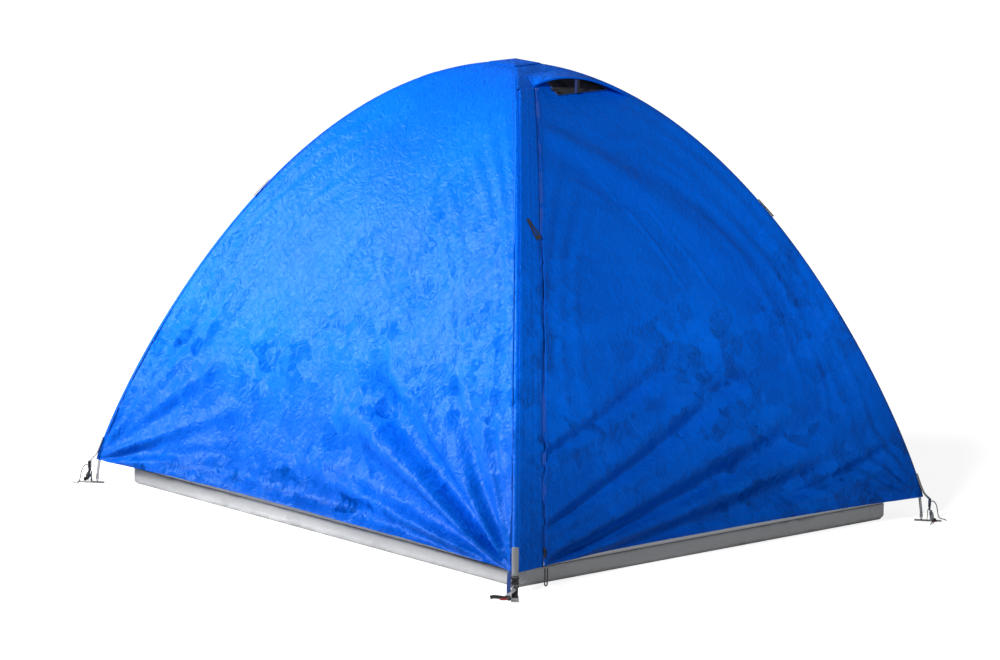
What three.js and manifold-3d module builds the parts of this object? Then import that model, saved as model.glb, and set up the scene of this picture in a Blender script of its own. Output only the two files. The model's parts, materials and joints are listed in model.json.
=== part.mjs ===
// Free-standing dome tent: two crossing arched poles, a fly with a zipped door and an apex vent,
// an inner tent on a tray floor, and a buckled webbing anchor at each of the four corners.
// Millimetres, +Z up. The origin is the middle of the footprint on the ground. The door side
// faces -Y and the long sides face -X and +X.
import * as THREE from 'three';
import { mergeVertices } from 'three/addons/utils/BufferGeometryUtils.js';
import Module from 'manifold-3d';

const wasm = await Module();
wasm.setup();

// ---- driving dimensions ----
const HALF_X = 880;            // fly footprint, half of the short side, at the hem
const HALF_Y = 1010;           // fly footprint, half of the long side, at the hem
const HEM_Z = 78;              // height of the fly's hem above the ground
const RISE = 1348;             // hem to apex
const CURVE = 0.865;           // fullness of the dome: height = RISE * (1 - u^2)^CURVE
const FABRIC = 1.5;            // thickness of every skin
const GAP = 0.3;               // clearance between neighbouring solids
const SAG = 24;                // how far a fly panel dips inwards at the middle of its hem
const HEM_BOW = 10;            // how far the hem lifts at the middle of each side

const CROWN_U = 0.045;         // the panels stop here and the crown patch covers the rest
const CROWN_HALF = 62;

const POLE_R = 4.25;
const POLE_INSET = 15;         // pole centre line, below the fly's outer face
const POLE_SECTIONS = 5;
const POLE_CROSSING = 9.2;     // how much lower pole b passes at the apex
const POLE_FOOT_Z = 24;        // where the tube ends and the tip begins
const TIP_R = 2.4;

const ZIP_BASE = 124;          // zip line to the rib beside it, at the hem
const ZIP_TOP = 84;            // the same near the apex
const ZIP_SPREAD_U = 0.18;     // the zip line begins to lean away from the rib here
const ZIP_START_U = 0.21;      // head of the zip and of the storm flap over it
const CHAIN_WIDTH = 4.2;
const DOOR_TOP_U = 0.6;        // top corner of the door flap, on the zip
const DOOR_FOOT_X = 545;       // foot of the door's fold line, on the hem
const FLAP_MARGIN = 15;        // storm flap's free edge to the zip line
const FLAP_LIFT = 4;

const VENT = { u0: 0.17, u1: 0.25, w0: -0.2, w1: 0.75 };
const HOOD = { u0: 0.13, leftU: 0.2, rightU: 0.285, w0: -0.6, w1: 0.88, lift: 52 };
const MESH_DEPTH = 4.5;          // vent mesh, below the fly's outer face
const STRUT = { width: 20, thick: 2.2, length: 42 };

const INNER_X = 790;
const INNER_Y = 920;
const INNER_RISE = 1296;
const TRAY_HEIGHT = 52;
const TRAY_THICK = 2;
const INNER_DOOR = { u0: 0.4, u1: 0.93, w: 0.45 };

const WEB_WIDTH = 20;
const WEB_THICK = 1.5;
const BUCKLE_R = 1356;         // distance of every corner buckle from the middle of the tent
const FEMALE = { width: 25, thick: 8.5, height: 23, top: 71 };
const MALE = { width: 24, thick: 7, height: 12, tongue: 15 };
const TAB_FOOT_OUT = 1396;     // outer end of the ground tabs
const STRAP_TOP = 152;         // where the corner strap leaves the rib
const GROMMET_PLAY = 0.6;      // grommet hole, over the radius of the pole tip

const SLIDER = { u: 0.99, width: 9, depth: 4.5, height: 15, beside: 6.2, lift: 6.8 };
const PULLER = { width: 7, thick: 1.6, length: 26, eye: 1.8 };
const TAB = { width: 24, length: 74, thick: 2, u: 0.585, lift: 1.5 };
const CORD_R = 1.5;
const LOOP = { half: 5, radius: 2.2, top: HEM_Z - 4, low: 20, proud: 5 };
const HOOK = { size: 46, thick: 5, below: 2.5 };

const BLUE = new THREE.MeshStandardMaterial({ color: 0x0a4fd8, roughness: 0.45 });
const DEEP_BLUE = new THREE.MeshStandardMaterial({ color: 0x0a3cb0, roughness: 0.5 });
const PALE = new THREE.MeshStandardMaterial({ color: 0xd9dce0, roughness: 0.8 });
const GREY = new THREE.MeshStandardMaterial({ color: 0x7b7f86, roughness: 0.8 });
const BLACK = new THREE.MeshStandardMaterial({ color: 0x16171a, roughness: 0.5 });
const ALLOY = new THREE.MeshStandardMaterial({ color: 0xaeb2b8, roughness: 0.35, metalness: 0.9 });

const tent = new THREE.Group();

// ---- helpers ----
function add(name, geometry, material, parent = tent) {
  const mesh = new THREE.Mesh(geometry, material.clone());
  mesh.name = name;
  parent.add(mesh);
  return mesh;
}

// Closed skin between an outer and an inner grid of points, given as functions of (i, j).
function skin(rows, columns, outer, inner) {
  const position = [];
  const index = [];
  const stride = columns + 1;
  const layer = (rows + 1) * stride;
  for (const face of [outer, inner]) {
    for (let i = 0; i <= rows; i += 1) {
      for (let j = 0; j <= columns; j += 1) {
        position.push(...face(i / rows, j / columns));
      }
    }
  }
  const quad = (a, b, c, d) => index.push(a, b, c, a, c, d);
  const at = (i, j, side) => side * layer + i * stride + j;
  for (let i = 0; i < rows; i += 1) {
    for (let j = 0; j < columns; j += 1) {
      quad(at(i, j, 0), at(i + 1, j, 0), at(i + 1, j + 1, 0), at(i, j + 1, 0));
      quad(at(i, j, 1), at(i, j + 1, 1), at(i + 1, j + 1, 1), at(i + 1, j, 1));
    }
    quad(at(i, 0, 0), at(i, 0, 1), at(i + 1, 0, 1), at(i + 1, 0, 0));
    quad(at(i, columns, 0), at(i + 1, columns, 0), at(i + 1, columns, 1), at(i, columns, 1));
  }
  for (let j = 0; j < columns; j += 1) {
    quad(at(0, j, 0), at(0, j + 1, 0), at(0, j + 1, 1), at(0, j, 1));
    quad(at(rows, j, 0), at(rows, j, 1), at(rows, j + 1, 1), at(rows, j + 1, 0));
  }
  const geometry = new THREE.BufferGeometry();
  geometry.setAttribute('position', new THREE.Float32BufferAttribute(position, 3));
  geometry.setIndex(index);
  return geometry;
}

function toSolid(geometry) {
  const bare = geometry.clone();
  bare.deleteAttribute('normal');
  bare.deleteAttribute('uv');
  const merged = mergeVertices(bare, 1e-4);
  const vertProperties = new Float32Array(merged.attributes.position.array);
  const triVerts = new Uint32Array(merged.index.array);
  return new wasm.Manifold(new wasm.Mesh({ numProp: 3, vertProperties, triVerts }));
}

function fromSolid(solid) {
  const mesh = solid.getMesh();
  const geometry = new THREE.BufferGeometry();
  geometry.setAttribute('position', new THREE.BufferAttribute(mesh.vertProperties, 3));
  geometry.setIndex(new THREE.BufferAttribute(mesh.triVerts, 1));
  return geometry;
}

const cut = (body, tool) => fromSolid(toSolid(body).subtract(toSolid(tool)));

function block(sizeX, sizeY, sizeZ, x, y, z) {
  return new THREE.BoxGeometry(sizeX, sizeY, sizeZ).translate(x, y, z);
}

function tube(points, radius, sides, steps) {
  const section = new THREE.Shape();
  for (let k = 0; k < sides; k += 1) {
    const angle = (k * 2 * Math.PI) / sides;
    const x = radius * Math.cos(angle);
    const y = radius * Math.sin(angle);
    if (k === 0) section.moveTo(x, y);
    else section.lineTo(x, y);
  }
  const extrudePath = new THREE.CatmullRomCurve3(points);
  return new THREE.ExtrudeGeometry(section, { steps, bevelEnabled: false, extrudePath });
}

// ---- the dome surface ----
// A vaulted panel that faces -Y. run is its hem's distance from the middle and half is half of
// its hem. u goes from the apex (0) to the hem (1), and x is the place along the panel. depth is
// measured inwards from the outer face, and is negative outside it.
function vault(run, half, rise, footZ, sag, bow) {
  const place = (u, x, depth) => {
    const safe = Math.min(u, 0.9995);
    const slope = -2 * rise * CURVE * safe * (1 - safe * safe) ** (CURVE - 1);
    const length = Math.hypot(slope, run);
    const normalY = -slope / length;
    const normalZ = run / length;
    const across = 1 - Math.min(1, Math.abs(x) / (half * u)) ** 2;
    const height = footZ + rise * (1 - u * u) ** CURVE + bow * across * u ** 8;
    const reach = run * u - sag * u * across;
    return [x, -(reach - depth * normalY), height - depth * normalZ];
  };
  // Widest x at u that keeps half of GAP to the neighbouring panel, at a given depth.
  const rib = (u, depth) => {
    const reach = -place(u, half * u, depth)[1];
    return (half * reach) / run - GAP;
  };
  return { place, rib };
}

const front = vault(HALF_Y, HALF_X, RISE, HEM_Z, SAG, HEM_BOW);
const side = vault(HALF_X, HALF_Y, RISE, HEM_Z, SAG, HEM_BOW);
const innerFront = vault(INNER_Y, INNER_X, INNER_RISE, TRAY_HEIGHT + 1, 0, 0);
const innerSide = vault(INNER_X, INNER_Y, INNER_RISE, TRAY_HEIGHT + 1, 0, 0);

const mix = (a, b, t) => a + (b - a) * t;
// Rows of a skin from u0 to u1, even in angle: closer together where the dome turns steep.
const level = (u0, u1, s) => Math.sin(mix(Math.asin(u0), Math.asin(u1), s));
const levels = (u0, u1, count) => {
  return Array.from({ length: count + 1 }, (_, k) => level(u0, u1, k / count));
};

// Skin over part of a vault, with a row at each u of the list. left and right give the x limits
// from (u, depth).
function patch(surface, list, columns, left, right, depth0 = 0, depth1 = FABRIC) {
  const rows = list.length - 1;
  const layer = (depth) => (s, t) => {
    const u = list[Math.round(s * rows)];
    return surface.place(u, mix(left(u, depth), right(u, depth), t), depth);
  };
  return skin(rows, columns, layer(depth0), layer(depth1));
}

const leftRib = (surface) => (u, depth) => -surface.rib(u, depth);
const rightRib = (surface) => (u, depth) => surface.rib(u, depth);

const zipLine = (u) => {
  const t = Math.max(0, (u - ZIP_SPREAD_U) / (1 - ZIP_SPREAD_U));
  return -HALF_X * u + mix(ZIP_TOP, ZIP_BASE, t);
};
const foldLine = (u) => {
  const t = (u - DOOR_TOP_U) / (1 - DOOR_TOP_U);
  return mix(zipLine(DOOR_TOP_U), DOOR_FOOT_X, t);
};

// ---- poles ----
// Outer centre line of a pole in the vertical plane of its diagonal: distance from the middle and
// height, at t from -1 (one foot) to 1 (the other). deeper lowers it at the apex only.
const DIAGONAL = Math.hypot(HALF_X, HALF_Y);
const CORNER_ANGLE = Math.atan2(HALF_Y, HALF_X);

function polePoint(t, deeper) {
  const u = Math.min(Math.abs(t), 1);
  const safe = Math.min(u, 0.995);
  const slope = -2 * RISE * CURVE * safe * (1 - safe * safe) ** (CURVE - 1);
  const length = Math.hypot(slope, DIAGONAL);
  const inset = POLE_INSET + deeper * (1 - u * u) ** 4;
  const radius = DIAGONAL * u + (inset * slope) / length;
  const height = HEM_Z + RISE * (1 - u * u) ** CURVE - (inset * DIAGONAL) / length;
  return [Math.sign(t) * radius, height];
}

// The pole's whole route: down through the hem at both ends and on to the tips.
function poleRoute(deeper) {
  const flat = [];
  const steps = 44;
  for (let k = 0; k <= steps; k += 1) {
    const t = Math.sin((mix(-1, 1, k / steps) * Math.PI) / 2);
    flat.push(polePoint(Math.abs(t) > 0.998 ? 0.998 * Math.sign(t) : t, deeper));
  }
  const foot = [flat[flat.length - 1][0] + 8, POLE_FOOT_Z];
  flat.unshift([-foot[0], foot[1]]);
  flat.push(foot);
  return new THREE.CatmullRomCurve3(flat.map(([r, z]) => new THREE.Vector3(r, 0, z)));
}

function addPole(letter, angle, deeper) {
  const group = new THREE.Group();
  group.rotation.z = angle;
  tent.add(group);
  const route = poleRoute(deeper);
  const span = route.getLength();
  for (let k = 0; k < POLE_SECTIONS; k += 1) {
    const from = k / POLE_SECTIONS + (k > 0 ? GAP / 2 / span : 0);
    const to = (k + 1) / POLE_SECTIONS - (k < POLE_SECTIONS - 1 ? GAP / 2 / span : 0);
    const points = [];
    for (let n = 0; n <= 10; n += 1) points.push(route.getPointAt(mix(from, to, n / 10)));
    add(`pole_${letter}_section_${k + 1}`, tube(points, POLE_R, 8, 12), ALLOY, group);
  }
}

addPole('a', CORNER_ANGLE, 0);
addPole('b', -CORNER_ANGLE, POLE_CROSSING);

// ---- fly ----
function turned(angle) {
  const group = new THREE.Group();
  group.rotation.z = angle;
  tent.add(group);
  return group;
}

const PANEL_ROWS = levels(CROWN_U, 1, 16);
const wholePanel = (surface) => patch(surface, PANEL_ROWS, 8, leftRib(surface), rightRib(surface));

add('fly_panel_left', wholePanel(side), BLUE, turned(-Math.PI / 2));
add('fly_panel_right', wholePanel(side), BLUE, turned(Math.PI / 2));
add('fly_panel_back', wholePanel(front), BLUE, turned(Math.PI));

// The door side is cut along the zip, which runs beside the left rib, and along the fold line on
// which the door flap swings. Pieces that share an edge share its rows.
const DOOR_ROWS = levels(DOOR_TOP_U, 1, 8);
const ZIP_ROWS = [...levels(ZIP_START_U, DOOR_TOP_U, 5), ...DOOR_ROWS.slice(1)];
const stripEdge = (u) => zipLine(u) - CHAIN_WIDTH - GAP;
const chainLeft = (u) => zipLine(u) - CHAIN_WIDTH;
const chainRight = (u) => zipLine(u) - GAP;
add('fly_front_strip', patch(front, ZIP_ROWS, 2, leftRib(front), stripEdge), DEEP_BLUE);
add('fly_zip', patch(front, ZIP_ROWS, 1, chainLeft, chainRight, -0.6, FABRIC), BLACK);

function frontPanel() {
  const list = [
    ...levels(CROWN_U, ZIP_START_U - 0.004, 2),
    ...ZIP_ROWS,
  ];
  const left = (u, depth) => {
    if (u < ZIP_START_U) return -front.rib(u, depth);
    return (u < DOOR_TOP_U ? zipLine(u) : foldLine(u)) + GAP;
  };
  const ventEdge = (w) => (u) => w * HALF_X * u;
  const ventRows = levels(VENT.u0, VENT.u1, 2);
  const hole = patch(front, ventRows, 4, ventEdge(VENT.w0), ventEdge(VENT.w1), -6, 8);
  return cut(patch(front, list, 8, left, rightRib(front)), hole);
}
add('fly_panel_front', frontPanel(), DEEP_BLUE);

const doorLeft = (u) => zipLine(u) + GAP;
const doorRight = (u) => Math.max(foldLine(u) - 2 * GAP, doorLeft(u) + GAP);
const doorRows = [DOOR_TOP_U + 0.004, ...DOOR_ROWS.slice(1)];
add('fly_door', patch(front, doorRows, 6, doorLeft, doorRight), DEEP_BLUE);

function stormFlap() {
  const rows = ZIP_ROWS.length - 1;
  const layer = (base) => (s, t) => {
    const u = ZIP_ROWS[Math.round(s * rows)];
    const depth = base - mix(0.8, FLAP_LIFT, t ** 0.5);
    const start = -front.rib(u, 0) + 3;
    return front.place(u, mix(start, zipLine(u) - FLAP_MARGIN, t), depth);
  };
  return skin(rows, 3, layer(-FABRIC), layer(0));
}
add('storm_flap', stormFlap(), DEEP_BLUE);

// ---- zip slider and its puller, parked at the foot of the zip ----
const sliderAt = front.place(SLIDER.u, zipLine(SLIDER.u) - SLIDER.beside, -SLIDER.lift);
const sliderBody = new THREE.BoxGeometry(SLIDER.width, SLIDER.depth, SLIDER.height);
add('zip_slider', sliderBody, BLACK).position.set(...sliderAt);

function pullerShape() {
  const shape = new THREE.Shape();
  const half = PULLER.width / 2;
  shape.moveTo(-half, 0);
  shape.lineTo(-half, -PULLER.length + half);
  shape.absarc(0, -PULLER.length + half, half, Math.PI, 2 * Math.PI, false);
  shape.lineTo(half, 0);
  shape.closePath();
  const eye = new THREE.Path();
  eye.absarc(0, -PULLER.length + 6, PULLER.eye, 0, 2 * Math.PI, true);
  shape.holes.push(eye);
  const settings = { depth: PULLER.thick, bevelEnabled: false, curveSegments: 6 };
  return new THREE.ExtrudeGeometry(shape, settings).rotateX(Math.PI / 2);
}
const pullerY = sliderAt[1] - SLIDER.depth / 2 - 2 * GAP;
add('zip_puller', pullerShape(), BLACK).position.set(sliderAt[0], pullerY, sliderAt[2] + 2);

// ---- crown and apex vent ----
function crownPatch() {
  const layer = (lift) => (s, t) => {
    const x = mix(-CROWN_HALF, CROWN_HALF, t);
    const y = mix(CROWN_HALF, -CROWN_HALF, s);
    const u = Math.max(Math.abs(x) / HALF_X, Math.abs(y) / HALF_Y);
    return [x, y, HEM_Z + RISE * (1 - u * u) ** CURVE + lift];
  };
  return skin(8, 8, layer(0.6 + FABRIC), layer(0.6));
}
add('crown_patch', crownPatch(), BLUE);

// The hood's free rim runs lower on its right side than on its left.
function hoodPoint(s, t, extra) {
  const u = level(HOOD.u0, mix(HOOD.leftU, HOOD.rightU, t), s);
  const x = mix(HOOD.w0, HOOD.w1, t) * HALF_X * u;
  const arch = 1 - (2 * t - 1) ** 2;
  return front.place(u, x, -(0.8 + HOOD.lift * arch * s ** 1.3) - extra);
}
add(
  'vent_hood',
  skin(6, 10, (s, t) => hoodPoint(s, t, FABRIC), (s, t) => hoodPoint(s, t, 0)),
  BLUE,
);

function ventMesh() {
  const edge = (w) => (u) => w * HALF_X * u;
  const list = levels(VENT.u0 - 0.008, VENT.u1 + 0.008, 2);
  const left = edge(VENT.w0 - 0.03);
  const right = edge(VENT.w1 + 0.03);
  return patch(front, list, 6, left, right, MESH_DEPTH, MESH_DEPTH + 1);
}
add('vent_mesh', ventMesh(), BLACK);

const [rimX, rimY, rimZ] = hoodPoint(1, 0.5, 0);
add(
  'vent_strut',
  new THREE.BoxGeometry(STRUT.width, STRUT.thick, STRUT.length),
  BLACK,
).position.set(rimX, rimY + 8, rimZ - STRUT.length / 2 - 4);

// ---- guy-out tabs, one on each rib ----
function tabShape() {
  const shape = new THREE.Shape();
  const half = TAB.width / 2;
  shape.moveTo(-5, 0);
  shape.lineTo(-half, -TAB.length);
  shape.lineTo(half, -TAB.length);
  shape.lineTo(5, 0);
  shape.closePath();
  const slot = new THREE.Path();
  slot.moveTo(-2, -20);
  slot.lineTo(-5, -60);
  slot.lineTo(5, -60);
  slot.lineTo(2, -20);
  slot.closePath();
  shape.holes.push(slot);
  return new THREE.ExtrudeGeometry(shape, { depth: TAB.thick, bevelEnabled: false });
}
// A tab hangs just outside the ridge of its rib, leaning as the rib leans there.
function addTab(name, angle) {
  const group = turned(angle);
  const slope = 2 * RISE * CURVE * TAB.u * (1 - TAB.u ** 2) ** (CURVE - 1);
  const lean = Math.atan2(DIAGONAL, slope);
  const height = HEM_Z + RISE * (1 - TAB.u ** 2) ** CURVE;
  const mesh = add(name, tabShape(), BLACK, group);
  mesh.rotation.order = 'ZXY';
  mesh.rotation.set(Math.PI / 2 - lean, 0, Math.PI / 2);
  const radius = DIAGONAL * TAB.u + TAB.lift * Math.cos(lean);
  mesh.position.set(radius, 0, height + TAB.lift * Math.sin(lean));
}
// The front tab hangs on the storm flap, beside the ridge, and its foot leans to the right.
const FLAP_TAB_TURN = 0.2;
function addFlapTab(name) {
  const u = TAB.u - 0.02;
  const [x, y, z] = front.place(u, -HALF_X * u + 36, -FLAP_LIFT - 3);
  const below = front.place(u + 0.05, -HALF_X * u + 36, -FLAP_LIFT - 3);
  const mesh = add(name, tabShape().rotateZ(FLAP_TAB_TURN), BLACK);
  mesh.rotation.set(Math.PI / 2 - Math.atan2(y - below[1], z - below[2]), 0, 0);
  mesh.position.set(x, y, z);
}

// ---- corner anchors ----
const maleTop = FEMALE.top - FEMALE.height - GAP;

// Thin bent strip: an outline in the radial plane, extruded across by the webbing's width.
function strap(line, width) {
  const shape = new THREE.Shape();
  line.forEach(([r, z], k) => (k === 0 ? shape.moveTo(r, z) : shape.lineTo(r, z)));
  for (let k = line.length - 1; k >= 0; k -= 1) {
    const before = line[Math.max(k - 1, 0)];
    const after = line[Math.min(k + 1, line.length - 1)];
    const length = Math.hypot(after[0] - before[0], after[1] - before[1]);
    const normalR = -(after[1] - before[1]) / length;
    const normalZ = (after[0] - before[0]) / length;
    shape.lineTo(line[k][0] + normalR * WEB_THICK, line[k][1] + normalZ * WEB_THICK);
  }
  shape.closePath();
  const settings = { depth: width, bevelEnabled: false };
  const geometry = new THREE.ExtrudeGeometry(shape, settings);
  return geometry.rotateX(Math.PI / 2).translate(0, width / 2, 0);
}

function ribRadius(z) {
  return DIAGONAL * Math.sqrt(1 - ((z - HEM_Z) / RISE) ** (1 / CURVE));
}

function femaleBuckle() {
  const middle = FEMALE.top - FEMALE.height / 2;
  const body = block(FEMALE.thick, FEMALE.width, FEMALE.height, BUCKLE_R, 0, middle);
  const socket = block(
    FEMALE.thick - 3.6, FEMALE.width - 5, MALE.tongue + 4,
    BUCKLE_R, 0, FEMALE.top - FEMALE.height + (MALE.tongue + 4) / 2 - 1,
  );
  return cut(body, socket);
}

function maleBuckle() {
  const body = block(MALE.thick, MALE.width, MALE.height, BUCKLE_R, 0, maleTop - MALE.height / 2);
  const tongue = block(
    FEMALE.thick - 4.6, FEMALE.width - 7, MALE.tongue + 1,
    BUCKLE_R, 0, maleTop + (MALE.tongue - 1) / 2,
  );
  return fromSolid(toSolid(body).add(toSolid(tongue)));
}

const TIP_REACH = poleRoute(0).points.at(-1).x;
function groundTab() {
  const upright = BUCKLE_R - MALE.thick / 2 - GAP - WEB_THICK - 0.4;
  const line = [
    [TIP_REACH - 22, 0],
    [TAB_FOOT_OUT, 0],
  ];
  const foot = strap(line, WEB_WIDTH + 4);
  const riser = block(WEB_THICK, WEB_WIDTH, 36, upright, 0, 18 + WEB_THICK / 2);
  const hole = TIP_R + GROMMET_PLAY;
  const grommet = new THREE.CylinderGeometry(hole, hole, 12, 12);
  grommet.rotateX(Math.PI / 2).translate(TIP_REACH, 0, 0);
  const joined = toSolid(foot).add(toSolid(riser));
  return fromSolid(joined.subtract(toSolid(grommet)));
}

function poleTip() {
  const profile = [
    new THREE.Vector2(0, 0.4),
    new THREE.Vector2(TIP_R - 0.8, 0.4),
    new THREE.Vector2(TIP_R, 1.4),
    new THREE.Vector2(TIP_R, 9),
    new THREE.Vector2(POLE_R + 0.6, 10),
    new THREE.Vector2(POLE_R + 0.6, POLE_FOOT_Z - 1.6),
    new THREE.Vector2(0, POLE_FOOT_Z - 1.6),
  ];
  return new THREE.LatheGeometry(profile, 12).rotateX(Math.PI / 2).translate(TIP_REACH, 0, 0);
}

const CORNERS = [
  { name: 'front', angle: Math.PI + CORNER_ANGLE },
  { name: 'right', angle: -CORNER_ANGLE },
  { name: 'back', angle: CORNER_ANGLE },
  { name: 'left', angle: Math.PI - CORNER_ANGLE },
];

for (const { name, angle } of CORNERS) {
  const group = turned(angle);
  const strapLine = [
    [BUCKLE_R, FEMALE.top + GAP],
    [ribRadius(HEM_Z + 6) + 6, HEM_Z + 10],
    [ribRadius(112) + 2, 112],
    [ribRadius(STRAP_TOP) + 2, STRAP_TOP],
  ];
  add(`corner_strap_${name}`, strap(strapLine.reverse(), WEB_WIDTH), GREY, group);
  add(`buckle_female_${name}`, femaleBuckle(), BLACK, group);
  add(`buckle_male_${name}`, maleBuckle(), BLACK, group);
  add(`ground_tab_${name}`, groundTab(), GREY, group);
  add(`pole_tip_${name}`, poleTip(), ALLOY, group);
  if (name === 'front') addFlapTab(`guy_tab_${name}`);
  else addTab(`guy_tab_${name}`, angle);
}

// ---- cords ----
const point = (x, y, z) => new THREE.Vector3(x, y, z);

// Tie cord at a corner, in the corner's own frame (x outwards): it leaves the ground tab,
// stands up in a short bow beside the buckle and lies down on the ground.
const TIE_ROUTE = [
  point(1360, 15.5, 60),
  point(1365, 17, 61),
  point(1371, 20, 57),
  point(1376, 23, 48),
  point(1379, 26, 36),
  point(1381, 29, 24),
  point(1383, 31, 13),
  point(1386, 32, 5.5),
  point(1391, 31, 2.2),
  point(1398, 27, 1.8),
  point(1404, 21, 1.8),
  point(1408, 14, 1.8),
  point(1410, 6, 1.8),
];
for (const { name, angle } of CORNERS.filter((corner) => corner.name !== 'front')) {
  add(`tie_cord_${name}`, tube(TIE_ROUTE, CORD_R, 8, 26), BLACK, turned(angle));
}

// Loop of cord that hangs from the hem at the foot of the zip.
const [loopX, loopY] = front.place(1, zipLine(1) + 4, 0);
const cordY = loopY - LOOP.proud;
const bend = LOOP.low + LOOP.half;
const loopRoute = [];
for (let k = 0; k <= 3; k += 1) {
  loopRoute.push(point(loopX - LOOP.half, cordY, mix(LOOP.top, bend, k / 3)));
}
for (let k = 1; k < 6; k += 1) {
  const angle = Math.PI + (k * Math.PI) / 6;
  const x = loopX + LOOP.half * Math.cos(angle);
  loopRoute.push(point(x, cordY, bend + LOOP.half * Math.sin(angle)));
}
for (let k = 0; k <= 3; k += 1) {
  loopRoute.push(point(loopX + LOOP.half, cordY, mix(bend, LOOP.top, k / 3)));
}
add('hem_loop', tube(loopRoute, LOOP.radius, 8, 24), BLACK);

// ---- inner tent ----
const INNER_ROWS = levels(0.05, 0.9999, 9);
const innerPanel = (surface) => {
  return patch(surface, INNER_ROWS, 5, leftRib(surface), rightRib(surface));
};
add('inner_panel_left', innerPanel(innerSide), PALE, turned(-Math.PI / 2));
add('inner_panel_right', innerPanel(innerSide), PALE, turned(Math.PI / 2));
add('inner_panel_back', innerPanel(innerFront), PALE, turned(Math.PI));

function innerDoorPatch(grow, depth0, depth1) {
  const edge = (sign) => (u) => sign * (INNER_DOOR.w * INNER_X * u + grow);
  const shift = grow / INNER_Y;
  const list = levels(INNER_DOOR.u0 - shift, INNER_DOOR.u1 + shift, 7);
  return patch(innerFront, list, 3, edge(-1), edge(1), depth0, depth1);
}
add('inner_panel_front', cut(innerPanel(innerFront), innerDoorPatch(3, -12, 14)), PALE);
add('inner_door', innerDoorPatch(0, 0, FABRIC), PALE);

function trayFloor() {
  const outer = block(2 * INNER_X, 2 * INNER_Y, TRAY_HEIGHT, 0, 0, TRAY_HEIGHT / 2);
  const hollow = block(
    2 * (INNER_X - TRAY_THICK), 2 * (INNER_Y - TRAY_THICK), TRAY_HEIGHT,
    0, 0, TRAY_HEIGHT / 2 + TRAY_THICK,
  );
  return cut(outer, hollow);
}
add('inner_floor', trayFloor(), PALE);

// Apex hook: a plate under the crossing poles that carries the top of the inner tent.
const crossingZ = HEM_Z + RISE - POLE_INSET - POLE_CROSSING;
add(
  'apex_hook',
  block(
    HOOK.size, HOOK.size, HOOK.thick,
    0, 0, crossingZ - POLE_R - HOOK.below - HOOK.thick / 2,
  ),
  BLACK,
);

export default tent;
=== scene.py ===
"""Looks of the dome tent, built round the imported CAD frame. Metres, +Z up."""
import json
import math

import bmesh
import bpy
import numpy as np
from mathutils import Matrix, Vector


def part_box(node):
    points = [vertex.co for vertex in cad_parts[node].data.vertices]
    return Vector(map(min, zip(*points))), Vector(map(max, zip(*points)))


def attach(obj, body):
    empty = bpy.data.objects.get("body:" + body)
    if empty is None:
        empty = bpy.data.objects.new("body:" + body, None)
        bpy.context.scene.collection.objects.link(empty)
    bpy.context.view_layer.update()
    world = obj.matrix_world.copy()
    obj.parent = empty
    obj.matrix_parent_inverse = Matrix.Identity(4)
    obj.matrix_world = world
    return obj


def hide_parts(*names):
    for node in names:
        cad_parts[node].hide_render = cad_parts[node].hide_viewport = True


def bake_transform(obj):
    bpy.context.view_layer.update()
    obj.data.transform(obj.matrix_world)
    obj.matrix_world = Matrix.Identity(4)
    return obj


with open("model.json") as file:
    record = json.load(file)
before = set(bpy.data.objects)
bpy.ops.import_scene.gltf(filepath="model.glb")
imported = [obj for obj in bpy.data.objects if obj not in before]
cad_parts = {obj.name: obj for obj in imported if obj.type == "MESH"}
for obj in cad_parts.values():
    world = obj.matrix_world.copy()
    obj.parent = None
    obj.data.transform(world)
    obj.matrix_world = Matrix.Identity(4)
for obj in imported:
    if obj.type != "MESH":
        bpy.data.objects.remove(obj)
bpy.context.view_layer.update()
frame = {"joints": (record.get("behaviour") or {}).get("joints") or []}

# ---- dimensions of the dome, from the frame ----
HALF_X = -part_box("fly_panel_left")[0].x
HALF_Y = -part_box("fly_panel_front")[0].y
HEM_Z = 0.078                 # height of the hem at the corners
RISE = 1.348                  # from the hem to the top
CURVE = 0.865                 # how full the ribs are
SAG = 0.024                   # how far a panel falls in between its ribs at the hem
HEM_BOW = 0.010               # how far the hem rises between its corners
RIDGE = 0.012                 # radius of the cloth where it bends over a pole
DIAGONAL = math.hypot(HALF_X, HALF_Y)
CORNER_ANGLE = math.atan2(HALF_Y, HALF_X)
DEEPEST = 0.040               # no fold goes further in, so the fly clears the inner tent
ZIP_START = 0.21              # the zip's upper end
ZIP_SPREAD = 0.18             # the zip line begins to lean away from the rib here
ZIP_TOP = 0.084               # from the rib to the zip there
ZIP_BASE = 0.124              # and at the hem
FABRIC = 0.0008               # thickness of the visible cloth
UPRIGHT = (0, 0, 1)
ACROSS = (1, 0, 0)


# ---- small helpers ----
def smooth(low, high, value):
    t = np.clip((value - low) / (high - low), 0.0, 1.0)
    return t * t * (3 - 2 * t)


def mix(a, b, t):
    return a + (b - a) * t


def new_object(name, data):
    made = bpy.data.objects.new(name, data)
    bpy.context.scene.collection.objects.link(made)
    return made


def mesh_object(name, points, faces, material, soft=True):
    mesh = bpy.data.meshes.new(name)
    mesh.from_pydata([tuple(p) for p in points], [], [tuple(f) for f in faces])
    mesh.materials.append(material)
    for polygon in mesh.polygons:
        polygon.use_smooth = soft
    return new_object(name, mesh)


def grid_faces(rows, columns, offset=0, keep=None):
    """Quads of a grid of (rows + 1) by (columns + 1) points."""
    stride = columns + 1
    faces = []
    for i in range(rows):
        for j in range(columns):
            if keep is None or keep(i, j):
                a = offset + i * stride + j
                faces.append((a, a + stride, a + stride + 1, a + 1))
    return faces


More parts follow.
